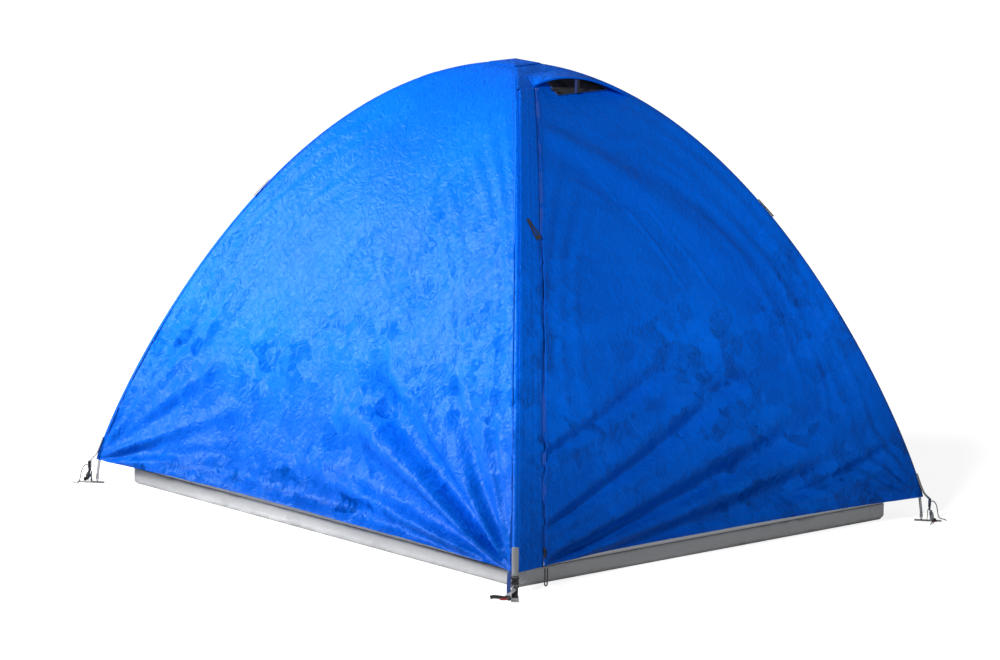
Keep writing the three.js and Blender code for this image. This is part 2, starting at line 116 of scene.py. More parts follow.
def add_uv(piece, uv):
    """Gives every corner the (u, v) of its vertex, in metres along and up the cloth."""
    layer = piece.data.uv_layers.new(name="cloth")
    index = np.empty(len(piece.data.loops), np.int32)
    piece.data.loops.foreach_get("vertex_index", index)
    layer.data.foreach_set("uv", np.asarray(uv, np.float32)[index].ravel())


def modifier(piece, kind, **settings):
    made = piece.modifiers.new(kind.lower(), kind)
    for key, value in settings.items():
        setattr(made, key, value)
    return made


def finish_piece(piece, body, slot, *nodes):
    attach(piece, body)
    if nodes:
        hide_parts(*nodes)
    return piece


def weld(piece, distance):
    """Joins points closer than the distance, and takes out those that no face uses."""
    made = bmesh.new()
    made.from_mesh(piece.data)
    if distance:
        bmesh.ops.remove_doubles(made, verts=made.verts, dist=distance)
    loose = [v for v in made.verts if not v.link_faces]
    bmesh.ops.delete(made, geom=loose, context="VERTS")
    made.to_mesh(piece.data)
    made.free()


def cloth_sheet(name, points, uv, faces, material, thickness=FABRIC, offset=-1, close=None):
    """A sheet of cloth. close, where it is given, is the distance for weld."""
    made = mesh_object(name, np.reshape(points, (-1, 3)), faces, material)
    add_uv(made, np.reshape(uv, (-1, 2)))
    if close is not None:
        weld(made, close)
    modifier(made, "SOLIDIFY", thickness=thickness, offset=offset)
    return made


def unit(v):
    v = np.asarray(v, float)
    return v / np.maximum(np.linalg.norm(v, axis=-1, keepdims=True), 1e-12)


def distances(points):
    """Distance along a line to each of its points."""
    return np.concatenate([[0], np.cumsum(np.linalg.norm(np.diff(points, axis=0), axis=1))])


def line_at(wanted, along, points):
    """Values of a line's points at the wanted distances along it."""
    return np.stack([np.interp(wanted, along, points[:, k]) for k in range(3)], -1)


# ---- noise on a plane, the same on every run ----
def lattice(ix, iy, seed):
    h = (ix * 374761393 + iy * 668265263 + seed * 1274126177) & 0x7FFFFFFF
    h = ((h ^ (h >> 13)) * 1103515245) & 0x7FFFFFFF
    return ((h ^ (h >> 16)) & 0xFFFFF) / 0xFFFFF


def noise(x, y, seed):
    """Gradient noise from about -1 to 1."""
    ix = np.floor(x).astype(np.int64)
    iy = np.floor(y).astype(np.int64)
    fx = x - ix
    fy = y - iy
    sx = fx * fx * fx * (fx * (fx * 6 - 15) + 10)
    sy = fy * fy * fy * (fy * (fy * 6 - 15) + 10)

    def corner(dx, dy):
        angle = lattice(ix + dx, iy + dy, seed) * 2 * np.pi
        return np.cos(angle) * (fx - dx) + np.sin(angle) * (fy - dy)

    low = mix(corner(0, 0), corner(1, 0), sx)
    high = mix(corner(0, 1), corner(1, 1), sx)
    return 1.5 * mix(low, high, sy)


def crease(x, y, scale, seed, stretch=1.0, turn=0.0):
    """Sharp-edged creases about 1/scale metres apart, longer along the turned axis."""
    c, s = math.cos(turn), math.sin(turn)
    along = (x * c + y * s) * scale / stretch
    over = (-x * s + y * c) * scale
    warp = 0.45 * noise(along * 0.7 + 9.1, over * 0.7 - 4.3, seed + 71)
    value = noise(along + warp, over - warp, seed)
    return 0.5 - np.sqrt(value * value + 0.004)


def pleat(x, y, start, end, width, height, bow=0.0, fade=0.55):
    """One long fold from start to end: a ridge with a trough on each side."""
    start, end = np.array(start), np.array(end)
    run = end - start
    length = np.hypot(*run)
    run = run / length
    t = ((x - start[0]) * run[0] + (y - start[1]) * run[1]) / length
    over = -(x - start[0]) * run[1] + (y - start[1]) * run[0]
    over = over - bow * 4 * t * (1 - t)
    wide = mix(width[0], width[1], np.clip(t, 0, 1))
    shape = (1 - 2 * (over / wide) ** 2) * np.exp(-((over / wide) ** 2))
    return height * shape * smooth(0.0, 0.1, t) * (1 - smooth(fade, 1.0, t))


# ---- the dome surface ----
def level(u0, u1, count):
    """Heights u from u0 to u1, even in angle, so that rows are closer at the steep hem."""
    return np.sin(np.linspace(math.asin(u0), math.asin(u1), count + 1))


def slope_at(u):
    safe = np.minimum(u, 0.9995)
    return -2 * RISE * CURVE * safe * (1 - safe * safe) ** (CURVE - 1)


def height_at(u):
    """Height of a rib, where u is 0 at the top and 1 at the hem."""
    return HEM_Z + RISE * (1 - u * u) ** CURVE


ARC_U = level(0.0, 1.0, 400)
ARC_Z = RISE * (1 - ARC_U**2) ** CURVE


def climb(run, u):
    """Distance up the cloth from the hem to u."""
    steps = np.hypot(np.diff(ARC_U) * run, np.diff(ARC_Z))
    total = np.concatenate([[0], np.cumsum(steps)])
    return total[-1] - np.interp(u, ARC_U, total)


def ridge_radius(u, run):
    return np.minimum(RIDGE, 0.3 * run * u)


def rib_x(run, half, u):
    """Place along the panel of the middle of the ridge."""
    return half * u - 0.293 * ridge_radius(u, run)


def dome(run, half, u, x, out):
    """Points of a panel that faces -Y. out is the height above the plain surface."""
    slope = slope_at(u)
    length = np.hypot(slope, run)
    radius = ridge_radius(u, run)
    inside = np.clip(radius - (half * u - np.abs(x)), 0, radius)
    round_off = radius - np.sqrt(radius**2 - inside**2)
    across = 1 - np.clip(np.abs(x) / rib_x(run, half, u), 0, 1) ** 2
    reach = run * u - SAG * u * across - round_off
    height = height_at(np.minimum(u, 1.0)) + HEM_BOW * across * u**8
    return np.stack([x, -(reach - out * slope / length), height + out * run / length], -1)


def turned(points, angle):
    c, s = math.cos(angle), math.sin(angle)
    x, y, z = points[..., 0], points[..., 1], points[..., 2]
    return np.stack([x * c - y * s, x * s + y * c, z], -1)


def zip_x(u):
    t = np.clip((u - ZIP_SPREAD) / (1 - ZIP_SPREAD), 0, 1)
    return -HALF_X * u + mix(ZIP_TOP, ZIP_BASE, t)


# ---- how the cloth is folded ----
def edge_mask(run, half, u, x, up):
    """0 on the ridges and 1 inside the panel."""
    side = smooth(0.0, 0.06, rib_x(run, half, u) - np.abs(x))
    return side * smooth(0.0, 0.25, 1.9 - up)


def general_folds(x, up, half, seed):
    """Folds that every panel has: pulls from its two lower corners, and slack between them."""
    draw = np.random.default_rng(seed)
    out = np.zeros_like(x)
    for sign in (-1, 1):
        corner = (sign * half, -0.01)
        for angle in np.radians([9, 17, 27, 39, 52, 61]):
            lean = angle + draw.uniform(-0.05, 0.05)
            reach = draw.uniform(0.55, 1.05)
            end = (corner[0] - sign * reach * math.cos(lean), reach * math.sin(lean))
            wide = draw.uniform(0.8, 1.25)
            out += pleat(
                x, up, corner, end, (0.008, 0.045 * wide), draw.uniform(0.0035, 0.008),
                draw.uniform(-0.03, 0.03), draw.uniform(0.3, 0.6),
            )
    return out


def long_folds(x, up, run, half, seed):
    """Long soft folds that run beside each ridge, and short ones across it near the top."""
    draw = np.random.default_rng(seed)
    out = np.zeros_like(x)
    top = float(climb(run, np.array(0.08)))
    for sign in (-1, 1):
        for k in range(5):
            off = 0.05 + 0.075 * k + draw.uniform(-0.012, 0.012)
            start = (sign * (half - off * 1.25), draw.uniform(0.1, 0.35))
            end = (sign * max(0.04, 0.1 - 0.02 * k), top - 0.1 - 0.1 * k)
            out += pleat(
                x, up, start, end, (0.02, 0.03), draw.uniform(0.0015, 0.0035),
                -sign * half * draw.uniform(0.13, 0.2), 0.7,
            )
    return out


def crumple(x, up, seed, strength):
    """Creases of packed cloth, strongest in the lower middle and in drifting patches."""
    patch = smooth(-0.35, 0.5, noise(x * 2.1, up * 2.1, seed + 5))
    fine = smooth(-0.2, 0.6, noise(x * 3.7 + 3, up * 3.7, seed + 6))
    out = 0.0075 * crease(x, up, 5.0, seed, 1.6, 0.5) * (0.4 + 0.6 * patch)
    out += 0.0042 * crease(x, up, 11.0, seed + 1, 1.4, -0.5) * (0.3 + 0.7 * patch)
    out += 0.0022 * crease(x, up, 23.0, seed + 2, 1.2, 0.9) * patch
    out += 0.0011 * crease(x, up, 46.0, seed + 3) * fine
    return out * strength


def panel_height(name, run, half, u, x):
    """Height of the cloth over the plain dome at each point of the named panel."""
    up = climb(run, u)
    seed = {"left": 100, "right": 200, "back": 300, "front": 400}[name]
    calm = 1 - smooth(0.75, 1.5, up)
    out = crumple(x, up, seed, 0.25 + 0.75 * calm)
    out += long_folds(x, up, run, half, seed + 20)
    if name == "front":
        out += front_folds(x, up)
    else:
        out += general_folds(x, up, half, seed + 10)
    if name == "left":
        out += left_folds(x, up)
        out += crumple(x, up, seed + 31, 1.3 * (1 - smooth(0.35, 0.9, up)) * smooth(0.75, 0.1, x))
        belly = np.exp(-((x / 0.62) ** 2)) * smooth(0.0, 0.07, up) * (1 - smooth(0.1, 0.6, up))
        out -= 0.050 * belly
    out = out * edge_mask(run, half, u, x, up)
    return np.where(out < 0, -DEEPEST * np.tanh(-out / DEEPEST), out)


def left_folds(x, up):
    """Deep folds that the front corner pulls into the long side, and its sewn seam."""
    corner = (HALF_Y - 0.01, -0.01)
    out = np.zeros_like(x)
    deep = [
        ((0.10, 0.48), 0.052, 0.095, 0.75), ((-0.10, 0.24), 0.046, 0.110, 0.7),
        ((-0.45, 0.08), 0.030, 0.090, 0.6), ((0.62, 0.36), 0.010, 0.035, 0.5),
        ((0.76, 0.30), 0.008, 0.025, 0.5), ((0.42, 0.62), 0.008, 0.05, 0.5),
    ]
    for end, height, wide, fade in deep:
        out -= pleat(x, up, corner, end, (0.012, wide), height, 0.0, fade)
    for k in range(4):
        end = (0.93 - 0.05 * k, 0.42 + 0.06 * k)
        out += pleat(x, up, corner, end, (0.006, 0.014), 0.003, 0.01, 0.6)
    far = (-HALF_Y, -0.01)
    for end, height in (((-0.45, 0.10), 0.014), ((-0.55, 0.30), 0.010), ((-0.70, 0.42), 0.007)):
        out -= pleat(x, up, far, end, (0.01, 0.06), height, 0.02, 0.4)
    return out


def front_folds(x, up):
    """Folds of the door side: long pulls that rise from the zip, and slanting tension above."""
    out = np.zeros_like(x)
    deep = [
        ((-0.77, 0.00), (0.68, 0.33), 0.034, 0.085, 0.62),
        ((-0.76, 0.10), (0.38, 0.52), 0.020, 0.060, 0.6),
        ((-0.76, 0.30), (0.02, 0.58), 0.014, 0.045, 0.6),
        ((-0.74, -0.02), (0.74, 0.17), 0.026, 0.090, 0.75),
        ((-0.2, 0.42), (0.62, 0.52), 0.008, 0.05, 0.6),
        ((0.30, 0.06), (0.84, 0.20), 0.014, 0.04, 0.7),
    ]
    for start, end, height, wide, fade in deep:
        out -= pleat(x, up, start, end, (0.020, wide), height, -0.02, fade)
    fine = [
        ((-0.24, 1.40), (0.50, 0.66), 0.010, 0.11), ((-0.14, 1.28), (0.12, 0.68), 0.0028, 0.013),
        ((0.00, 1.14), (0.24, 0.66), 0.0024, 0.012), ((-0.30, 1.18), (0.16, 0.80), 0.0026, 0.016),
        ((-0.46, 1.12), (0.10, 1.00), 0.0040, 0.028), ((-0.52, 0.93), (0.12, 0.82), 0.0036, 0.026),
        ((-0.56, 0.76), (0.18, 0.66), 0.0040, 0.030), ((-0.60, 0.60), (-0.1, 0.66), 0.0036, 0.024),
        ((-0.50, 1.02), (-0.1, 0.88), 0.0030, 0.018), ((-0.36, 1.26), (0.05, 0.98), 0.0024, 0.020),
    ]
    for start, end, height, wide in fine:
        out += pleat(x, up, start, end, (wide * 0.5, wide), height, 0.01, 0.7)
    corner, reach = (HALF_X, -0.01), 0.45
    for angle in np.radians([12, 24, 38, 55]):
        end = (corner[0] - reach * math.cos(angle), reach * math.sin(angle))
        out += pleat(x, up, corner, end, (0.008, 0.04), 0.007, 0.02, 0.4)
    return out


# ---- materials ----
class Nodes:
    """A new material and short ways to add and join its nodes."""

    def __init__(self, name):
        self.material = bpy.data.materials.new(name)
        self.material.use_nodes = True
        self.tree = self.material.node_tree
        self.shader = self.tree.nodes["Principled BSDF"]

    def put(self, socket, value):
        if isinstance(value, bpy.types.NodeSocket):
            self.tree.links.new(value, socket)
        else:
            socket.default_value = value

    def add(self, kind, inputs=None, **settings):
        node = self.tree.nodes.new(kind)
        for key, value in settings.items():
            setattr(node, key, value)
        for key, value in (inputs or {}).items():
            if value is not None:
                self.put(node.inputs[key], value)
        return node

    def set(self, **inputs):
        for key, value in inputs.items():
            self.put(self.shader.inputs[key.replace("_", " ")], value)

    def place(self):
        """Place on the object, in metres."""
        return self.add("ShaderNodeTexCoord").outputs["Object"]

    def cloth(self):
        """Place along and up the cloth, in metres."""
        return self.add("ShaderNodeUVMap", uv_map="cloth").outputs[0]

    def math(self, operation, a, b=0.0):
        return self.add("ShaderNodeMath", {0: a, 1: b}, operation=operation).outputs[0]

    def vector(self, operation, a, b=None, scale=None):
        values = {0: a, 1: b, "Scale": scale}
        return self.add("ShaderNodeVectorMath", values, operation=operation).outputs["Vector"]

    def ramp(self, value, low, high, start=0.0, end=1.0):
        values = {
            "Value": value, "From Min": start, "From Max": end, "To Min": low, "To Max": high,
        }
        return self.add("ShaderNodeMapRange", values).outputs[0]

    def blend(self, factor, a, b):
        values = {0: factor, 6: a, 7: b}
        return self.add("ShaderNodeMix", values, data_type="RGBA").outputs[2]

    def noise(self, where, scale, detail=2.0, distortion=0.0, output="Fac"):
        values = {"Vector": where, "Scale": scale, "Detail": detail, "Distortion": distortion}
        return self.add("ShaderNodeTexNoise", values).outputs[output]

    def wave(self, where, scale, direction):
        return self.add(
            "ShaderNodeTexWave", {"Vector": where, "Scale": scale},
            wave_type="BANDS", bands_direction=direction,
        ).outputs["Fac"]

    def bump(self, height, distance, strength=1.0, normal=None):
        values = {"Height": height, "Distance": distance, "Strength": strength, "Normal": normal}
        return self.add("ShaderNodeBump", values).outputs["Normal"]


def rgba(colour, factor=1.0):
    return (*(c * factor for c in colour), 1.0)


def thread_scale(pitch):
    """Scale of a wave texture whose bands are a pitch apart."""
    return 1 / pitch / 20 * math.pi


def weave(nodes, pitch, operation):
    """Threads that cross at the given pitch, along the cloth's own UV."""
    uv = nodes.cloth()
    across = nodes.wave(uv, thread_scale(pitch), "X")
    along = nodes.wave(uv, thread_scale(pitch), "Y")
    return nodes.math(operation, across, along)


def painted_low_shade(nodes, tint, where, height):
    """Painted shade: the base colour grows darker near the ground, standing in for the less light
    that the cloth lets through there, where nothing bright lies behind it.
    """
    wander = nodes.math("MULTIPLY", nodes.noise(where, 1.6), 0.4)
    share = nodes.ramp(nodes.math("SUBTRACT", height, wander), 0.55, 1.0, -0.1, 0.4)
    return nodes.vector("SCALE", tint, scale=share)


def facets(nodes, where, scale, amount):
    """Small flat facets, each tilted its own way, as on cloth that was packed tight."""
    middle = (0.5, 0.5, 0.5)
    bend = nodes.noise(where, scale * 0.4, output="Color")
    shift = nodes.vector("SUBTRACT", bend, middle)
    moved = nodes.vector("ADD", where, nodes.vector("SCALE", shift, scale=1.4 / scale))
    values = {"Vector": moved, "Scale": scale, "Smoothness": 0.22}
    cells = nodes.add("ShaderNodeTexVoronoi", values, feature="SMOOTH_F1")
    tilt = nodes.vector("SUBTRACT", cells.outputs["Color"], middle)
    return nodes.vector("SCALE", tilt, scale=amount)


def taffeta(name, dark, light, crinkle=1.0):
    """Thin coated nylon: satin, with a fine net of packing creases over a plain weave."""
    nodes = Nodes(name)
    where = nodes.place()
    height = nodes.add("ShaderNodeSeparateXYZ", {"Vector": where}).outputs["Z"]
    drift = nodes.ramp(nodes.noise(where, 2.3, 3.0), 0.0, 1.0, 0.3, 0.7)
    # Painted shade: the base colour grows darker near the ground.
    tint = painted_low_shade(nodes, nodes.blend(drift, rgba(dark), rgba(light)), where, height)
    low = nodes.ramp(height, 1.0, 0.22, 0.55, 1.15)
    patches = nodes.ramp(nodes.noise(where, 2.6), 0.25, 1.0, 0.42, 0.6)
    share = nodes.math("MULTIPLY", nodes.math("MULTIPLY", low, patches), crinkle)
    small = nodes.noise(where, 95.0, 3.0, 1.6)
    shards = nodes.add(
        "ShaderNodeTexVoronoi", {"Vector": where, "Scale": 30.0}, feature="DISTANCE_TO_EDGE"
    ).outputs["Distance"]
    base = nodes.add("ShaderNodeNewGeometry").outputs["Normal"]
    tilt = nodes.vector("ADD", facets(nodes, where, 17.0, 0.60), facets(nodes, where, 44.0, 0.34))
    tilt = nodes.vector("SCALE", tilt, scale=share)
    normal = nodes.vector("NORMALIZE", nodes.vector("ADD", base, tilt))
    normal = nodes.bump(nodes.math("MINIMUM", shards, 0.2), 0.004 * crinkle, 0.5, normal)
    normal = nodes.bump(nodes.noise(where, 26.0, 2.0, 2.2), 0.008 * crinkle, 0.5, normal)
    normal = nodes.bump(small, 0.0014 * crinkle, 0.45, normal)
    normal = nodes.bump(weave(nodes, 0.0009, "MULTIPLY"), 0.0001, 0.35, normal)
    rough = nodes.ramp(small, 0.32, 0.48, 0.3, 0.7)
    nodes.set(
        Base_Color=tint, Roughness=rough, Normal=normal, IOR=1.48,
        Specular_IOR_Level=0.09, Specular_Tint=rgba((0.25, 0.72, 1.0)),
    )
    return nodes.material


def webbing(name, colour, pitch=0.0016):
    """Woven tape with a herringbone of thick yarns."""
    nodes = Nodes(name)
    uv = nodes.cloth()
    ribs = nodes.wave(uv, thread_scale(pitch), "Y")
    twill = nodes.wave(uv, thread_scale(pitch) * 0.7, "DIAGONAL")
    yarn = nodes.math("MULTIPLY", ribs, twill)
    fuzz = nodes.noise(nodes.place(), 900.0)
    shade = nodes.ramp(nodes.math("ADD", yarn, nodes.math("MULTIPLY", fuzz, 0.4)), 0.55, 1.25)
    # Painted shade: the tape is darker in the grooves between its yarns, with a random fuzz in the
    # tone.
    tint = nodes.blend(shade, rgba(colour, 0.55), rgba(colour))
    normal = nodes.bump(fuzz, 0.0002, 0.4, nodes.bump(yarn, 0.0004, 0.8))
    nodes.set(Base_Color=tint, Roughness=0.78, Normal=normal, Sheen_Weight=0.25)
    return nodes.material


def moulded(name, colour, rough=0.42, worn=(0.06, 0.06, 0.065)):
    """Injection-moulded acetal with a fine spark-eroded grain."""
    nodes = Nodes(name)
    where = nodes.place()
    wear = nodes.noise(where, 60.0, 4.0)
    tint = nodes.blend(nodes.ramp(wear, 0.0, 0.35, 0.5, 0.75), rgba(colour), rgba(worn))
    normal = nodes.bump(nodes.noise(where, 1400.0, 3.0), 0.00015, 0.5)
    roughness = nodes.ramp(wear, rough - 0.06, rough + 0.14, 0.3, 0.7)
    nodes.set(Base_Color=tint, Roughness=roughness, Normal=normal, IOR=1.48)
    return nodes.material


def anodised(name, colour):
    """Drawn alloy tube: a smudged metal with fine scratches."""
    nodes = Nodes(name)
    where = nodes.place()
    scratches = nodes.noise(where, 260.0, 4.0, 0.6)
    tint = nodes.blend(nodes.noise(where, 9.0, 3.0), rgba(colour), rgba(colour, 0.82))
    rough = nodes.ramp(scratches, 0.22, 0.42, 0.3, 0.7)
    normal = nodes.bump(scratches, 0.00008, 0.5)
    nodes.set(Base_Color=tint, Metallic=1.0, Roughness=rough, Normal=normal)
    return nodes.material


def netting(name, colour, pitch, cover):
    """Fine mesh cloth: threads with open holes between them."""
    nodes = Nodes(name)
    threads = weave(nodes, pitch, "MAXIMUM")
    slack = nodes.noise(nodes.place(), 7.0, 3.0)
    tint = nodes.blend(slack, rgba(colour), rgba(colour, 0.9))
    open_share = nodes.ramp(threads, cover, 1.0, 0.55, 0.75)
    normal = nodes.bump(threads, pitch * 0.3, 0.6)
    nodes.set(Base_Color=tint, Roughness=0.75, Normal=normal, Alpha=open_share, Sheen_Weight=0.15)
    return nodes.material


def thread(name, colour):
    """Twisted nylon thread."""
    nodes = Nodes(name)
    twist = nodes.wave(nodes.place(), 90.0, "DIAGONAL")
    # Painted shade: the thread is darker in the grooves of its twist.
    tint = nodes.blend(twist, rgba(colour, 0.7), rgba(colour))
    nodes.set(Base_Color=tint, Roughness=0.6, Normal=nodes.bump(twist, 0.0002, 0.5))
    return nodes.material


def braid(name, colour):
    """Braided cord: two sets of yarns that cross, with a light fuzz."""
    nodes = Nodes(name)
    where = nodes.place()
    mirrored = nodes.vector("MULTIPLY", where, (1.0, 1.0, -1.0))
    one, other = (nodes.wave(side, 55.0, "DIAGONAL") for side in (where, mirrored))
    yarn = nodes.math("MAXIMUM", one, other)
    # Painted shade and highlight: half as bright between the crossing yarns and 1.8 times as bright
    # on them.
    tint = nodes.blend(yarn, rgba(colour, 0.5), rgba(colour, 1.8))
    fuzz = nodes.noise(where, 1500.0)
    normal = nodes.bump(fuzz, 0.0001, 0.5, nodes.bump(yarn, 0.0004, 0.7))
    nodes.set(Base_Color=tint, Roughness=0.72, Normal=normal, Sheen_Weight=0.2)
    return nodes.material


BLUE = taffeta("fly_taffeta", (0.0003, 0.108, 0.70), (0.0004, 0.138, 0.82))
GREY_WEB = webbing("grey_webbing", (0.21, 0.22, 0.24))
BLUE_WEB = webbing("blue_webbing", (0.02, 0.06, 0.26))
BLACK_WEB = webbing("black_webbing", (0.018, 0.018, 0.021))
RED_WEB = webbing("red_webbing", (0.42, 0.02, 0.035))
PLASTIC = moulded("black_acetal", (0.014, 0.014, 0.016))
ZIP_PAINT = moulded("black_enamel", (0.02, 0.02, 0.024), 0.3)
ZIP_TAPE = webbing("zip_tape_cloth", (0.001, 0.13, 0.80), 0.0009)
ZIP_COIL = moulded("zip_nylon", (0.001, 0.12, 0.76), 0.35, (0.001, 0.07, 0.45))
ALLOY = anodised("pole_alloy", (0.66, 0.68, 0.71))
# The tray cloth takes the same painted shade near the ground as the fly.
TRAY = taffeta("tray_cloth", (0.84, 0.85, 0.87), (0.90, 0.91, 0.92), 0.6)
INNER = netting("inner_netting", (0.78, 0.80, 0.82), 0.0022, 0.62)
THREAD = thread("bonded_thread", (0.001, 0.06, 0.42))
CORD = braid("braided_cord", (0.012, 0.012, 0.014))
VENT_NET = netting("vent_netting", (0.012, 0.012, 0.015), 0.0016, 0.85)


# ---- stage, light and camera ----
def seen_or_not(nodes, seen, unseen):
    """A grey that the camera sees as one value while it lights the object as another."""
    path = nodes.new("ShaderNodeLightPath")
    node = nodes.new("ShaderNodeMix")
    node.data_type = "RGBA"
    nodes.id_data.links.new(path.outputs["Is Camera Ray"], node.inputs[0])
    node.inputs[6].default_value = rgba([unseen] * 3)
    node.inputs[7].default_value = rgba([seen] * 3)
    return node.outputs[2]


def stage():
    """A white floor and background that throw back less light than the camera sees."""
    nodes = Nodes("floor")
    nodes.set(
        Base_Color=seen_or_not(nodes.tree.nodes, 0.5, 0.55), Roughness=0.9, Specular_IOR_Level=0.0,
        Emission_Color=seen_or_not(nodes.tree.nodes, 0.84, 0.0), Emission_Strength=1.0,
    )
    far = 60
    corners = [(-far, -far, 0), (far, -far, 0), (far, far, 0), (-far, far, 0)]
    mesh_object("floor", corners, [(0, 1, 2, 3)], nodes.material, soft=False)
    world = bpy.data.worlds.new("studio")
    world.use_nodes = True
    background = world.node_tree.nodes["Background"]
    tone = seen_or_not(world.node_tree.nodes, 1.0, 0.16)
    world.node_tree.links.new(tone, background.inputs["Color"])
    bpy.context.scene.world = world
    bpy.context.scene.view_settings.view_transform = "Standard"


def light(name, kind, place, target, power, **settings):
    """A lamp that points from a place to a target."""
    data = bpy.data.lights.new(name, kind)
    data.energy = power
    for key, value in settings.items():
        setattr(data, key, value)
    lamp = new_object(name, data)
    lamp.location = place
    aim = Vector(target) - Vector(place)
    lamp.rotation_euler = aim.to_track_quat("-Z", "Y").to_euler()


def camera():
    azimuth, elevation, roll = (math.radians(a) for a in (-42.407, 10.943, 1.216))
    distance, target = 20.0, Vector((0, 0, 0.5596))
    flat = math.cos(elevation)
    back = Vector((math.sin(azimuth) * flat, -math.cos(azimuth) * flat, math.sin(elevation)))
    right = Vector((math.cos(azimuth), math.sin(azimuth), 0))
    up = back.cross(right)
    side = right * math.cos(roll) + up * math.sin(roll)
    top = up * math.cos(roll) - right * math.sin(roll)
    data = bpy.data.cameras.new("camera")
    data.sensor_width = 36.0
    data.lens = 225.66
    data.shift_x = -0.0098
    data.clip_end = 200.0
    made = new_object("camera", data)
    turn = Matrix((side, top, back)).transposed().to_4x4()
    made.matrix_world = Matrix.Translation(target + back * distance) @ turn
    bpy.context.scene.camera = made


camera()
stage()
light("key", "AREA", (-4.4, 4.4, 3.0), (-0.6, 0.2, 0.75), 700,
      shape="RECTANGLE", size=1.8, size_y=1.8)
light("sky", "SUN", (-0.84, -0.32, 0.44), (0, 0, 0), 1.9, angle=math.radians(8))
light("front_fill", "AREA", (0.6, -6.5, 1.2), (0.1, -0.5, 0.6), 60,
      shape="RECTANGLE", size=2.0, size_y=1.2)


# ---- fly ----
def four_panels(half_x, half_y):
    """Each panel's turn, its run from the middle to the hem, and half its width."""
    return {
        "left": (-math.pi / 2, half_x, half_y), "back": (math.pi, half_y, half_x),
        "right": (math.pi / 2, half_x, half_y), "front": (0.0, half_y, half_x),
    }


PANELS = four_panels(HALF_X, HALF_Y)
CROWN = 0.02                  # the panels end this far from the top
VENT_U = (0.17, 0.25)         # the vent's opening, down the panel
VENT_W = (-0.20, 0.75)        # and across it
FRONT_ROWS = (18, 12, 132)    # above the vent, beside it and below it
FRONT_COLUMNS = (44, 84, 20)  # left of the vent, below it and right of it


def panel_points(name, rows, places):
    """Points and cloth UVs of a panel. places gives x for each of the rows and columns."""
    angle, run, half = PANELS[name]
    u = np.repeat(rows[:, None], places.shape[1], 1)
    out = panel_height(name, run, half, u, places)
    points = turned(dome(run, half, u, places, out), angle)
    uv = np.stack([places, climb(run, u)], -1)
    return points.reshape(-1, 3), uv.reshape(-1, 2)


def columns(left, right, count, bent=(False, False)):
    """Columns from left to right, with extra ones at an end that bends over a pole."""
    t = np.linspace(0, 1, count + 1)
    near = np.array([0.0015, 0.003, 0.0045, 0.006, 0.008])
    if bent[0]:
        t = np.concatenate([t[:1], near, t[1:]])
    if bent[1]:
        t = np.concatenate([t[:-1], 1 - near[::-1], t[-1:]])
    return left[:, None] + (right - left)[:, None] * t[None, :]


def fly_shell():
    """One sheet round the left, back and right sides, and the strip that the zip is sewn to."""
    points, uvs, faces = [], [], []
    for name in ("left", "back", "right", "front"):
        run, half = PANELS[name][1:]
        if name == "front":
            rows = level(ZIP_START, 1.0, 130)
            places = columns(-rib_x(run, half, rows), zip_x(rows) - 0.006, 16, (True, False))
        else:
            rows = level(CROWN, 1.0, 150)
            edge = rib_x(run, half, rows)
            places = columns(-edge, edge, 150, (True, True))
        first = sum(len(panel) for panel in points)
        faces += grid_faces(len(rows) - 1, places.shape[1] - 1, first)
        p, uv = panel_points(name, rows, places)
        points.append(p)
        uvs.append(uv)
    shell = cloth_sheet(
        "fly_shell", np.concatenate(points), np.concatenate(uvs), faces, BLUE, close=0.0004
    )
    finish_piece(
        shell, "root", "fly_fabric",
        "fly_panel_left", "fly_panel_back", "fly_panel_right", "fly_front_strip",
    )


def front_grid():
    """Rows and columns of the door side, with lines on the edges of the vent's opening."""
    rows = np.concatenate([
        level(CROWN, VENT_U[0], FRONT_ROWS[0]), level(*VENT_U, FRONT_ROWS[1])[1:],
        level(VENT_U[1], 1.0, FRONT_ROWS[2])[1:],
    ])
    edge = rib_x(HALF_Y, HALF_X, rows)
    left = np.where(rows < ZIP_START, -edge, zip_x(rows))
    vent_left = np.maximum(VENT_W[0] * HALF_X * rows, left + 0.02)
    marks = [left, vent_left, VENT_W[1] * HALF_X * rows, edge]
    places = [
        columns(marks[k], marks[k + 1], count)[:, min(k, 1):]
        for k, count in enumerate(FRONT_COLUMNS)
    ]
    return rows, np.concatenate(places, 1)


def fly_front():
    """The door side from the zip to the right rib, in one sheet."""
    rows, places = front_grid()
    points, uv = panel_points("front", rows, places)

    def keep(i, j):
        beside = FRONT_ROWS[0] <= i < sum(FRONT_ROWS[:2])
        return not (beside and FRONT_COLUMNS[0] <= j < sum(FRONT_COLUMNS[:2]))

    faces = grid_faces(len(rows) - 1, places.shape[1] - 1, 0, keep)
    front = cloth_sheet("fly_front", points, uv, faces, BLUE, close=0.0)
    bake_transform(front)
    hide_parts("fly_panel_front", "fly_door")


DOOR_JOINT = next(j for j in frame["joints"] if j["name"] == "fly_door_swing")
DOOR_HINGE = Vector(DOOR_JOINT["pos_m"])
DOOR_AXIS = Vector(DOOR_JOINT["axis"]).normalized()
ZIP_FOOT = Vector((-HALF_X + ZIP_BASE, -HALF_Y, HEM_Z))
TOWARDS_ZIP = (ZIP_FOOT - DOOR_HINGE) - DOOR_AXIS * (ZIP_FOOT - DOOR_HINGE).dot(DOOR_AXIS)
TOWARDS_ZIP.normalize()
fly_shell()
fly_front()


# ---- makers for the small parts ----
def axes(origin, right, up):
    """Matrix of a plate's own frame: x to the right, y up and z out of its face."""
    right = unit(right)
    normal = unit(np.cross(right, up))
    up = np.cross(normal, right)
    made = Matrix((right, up, normal)).transposed().to_4x4()
    return Matrix.Translation(Vector(origin)) @ made


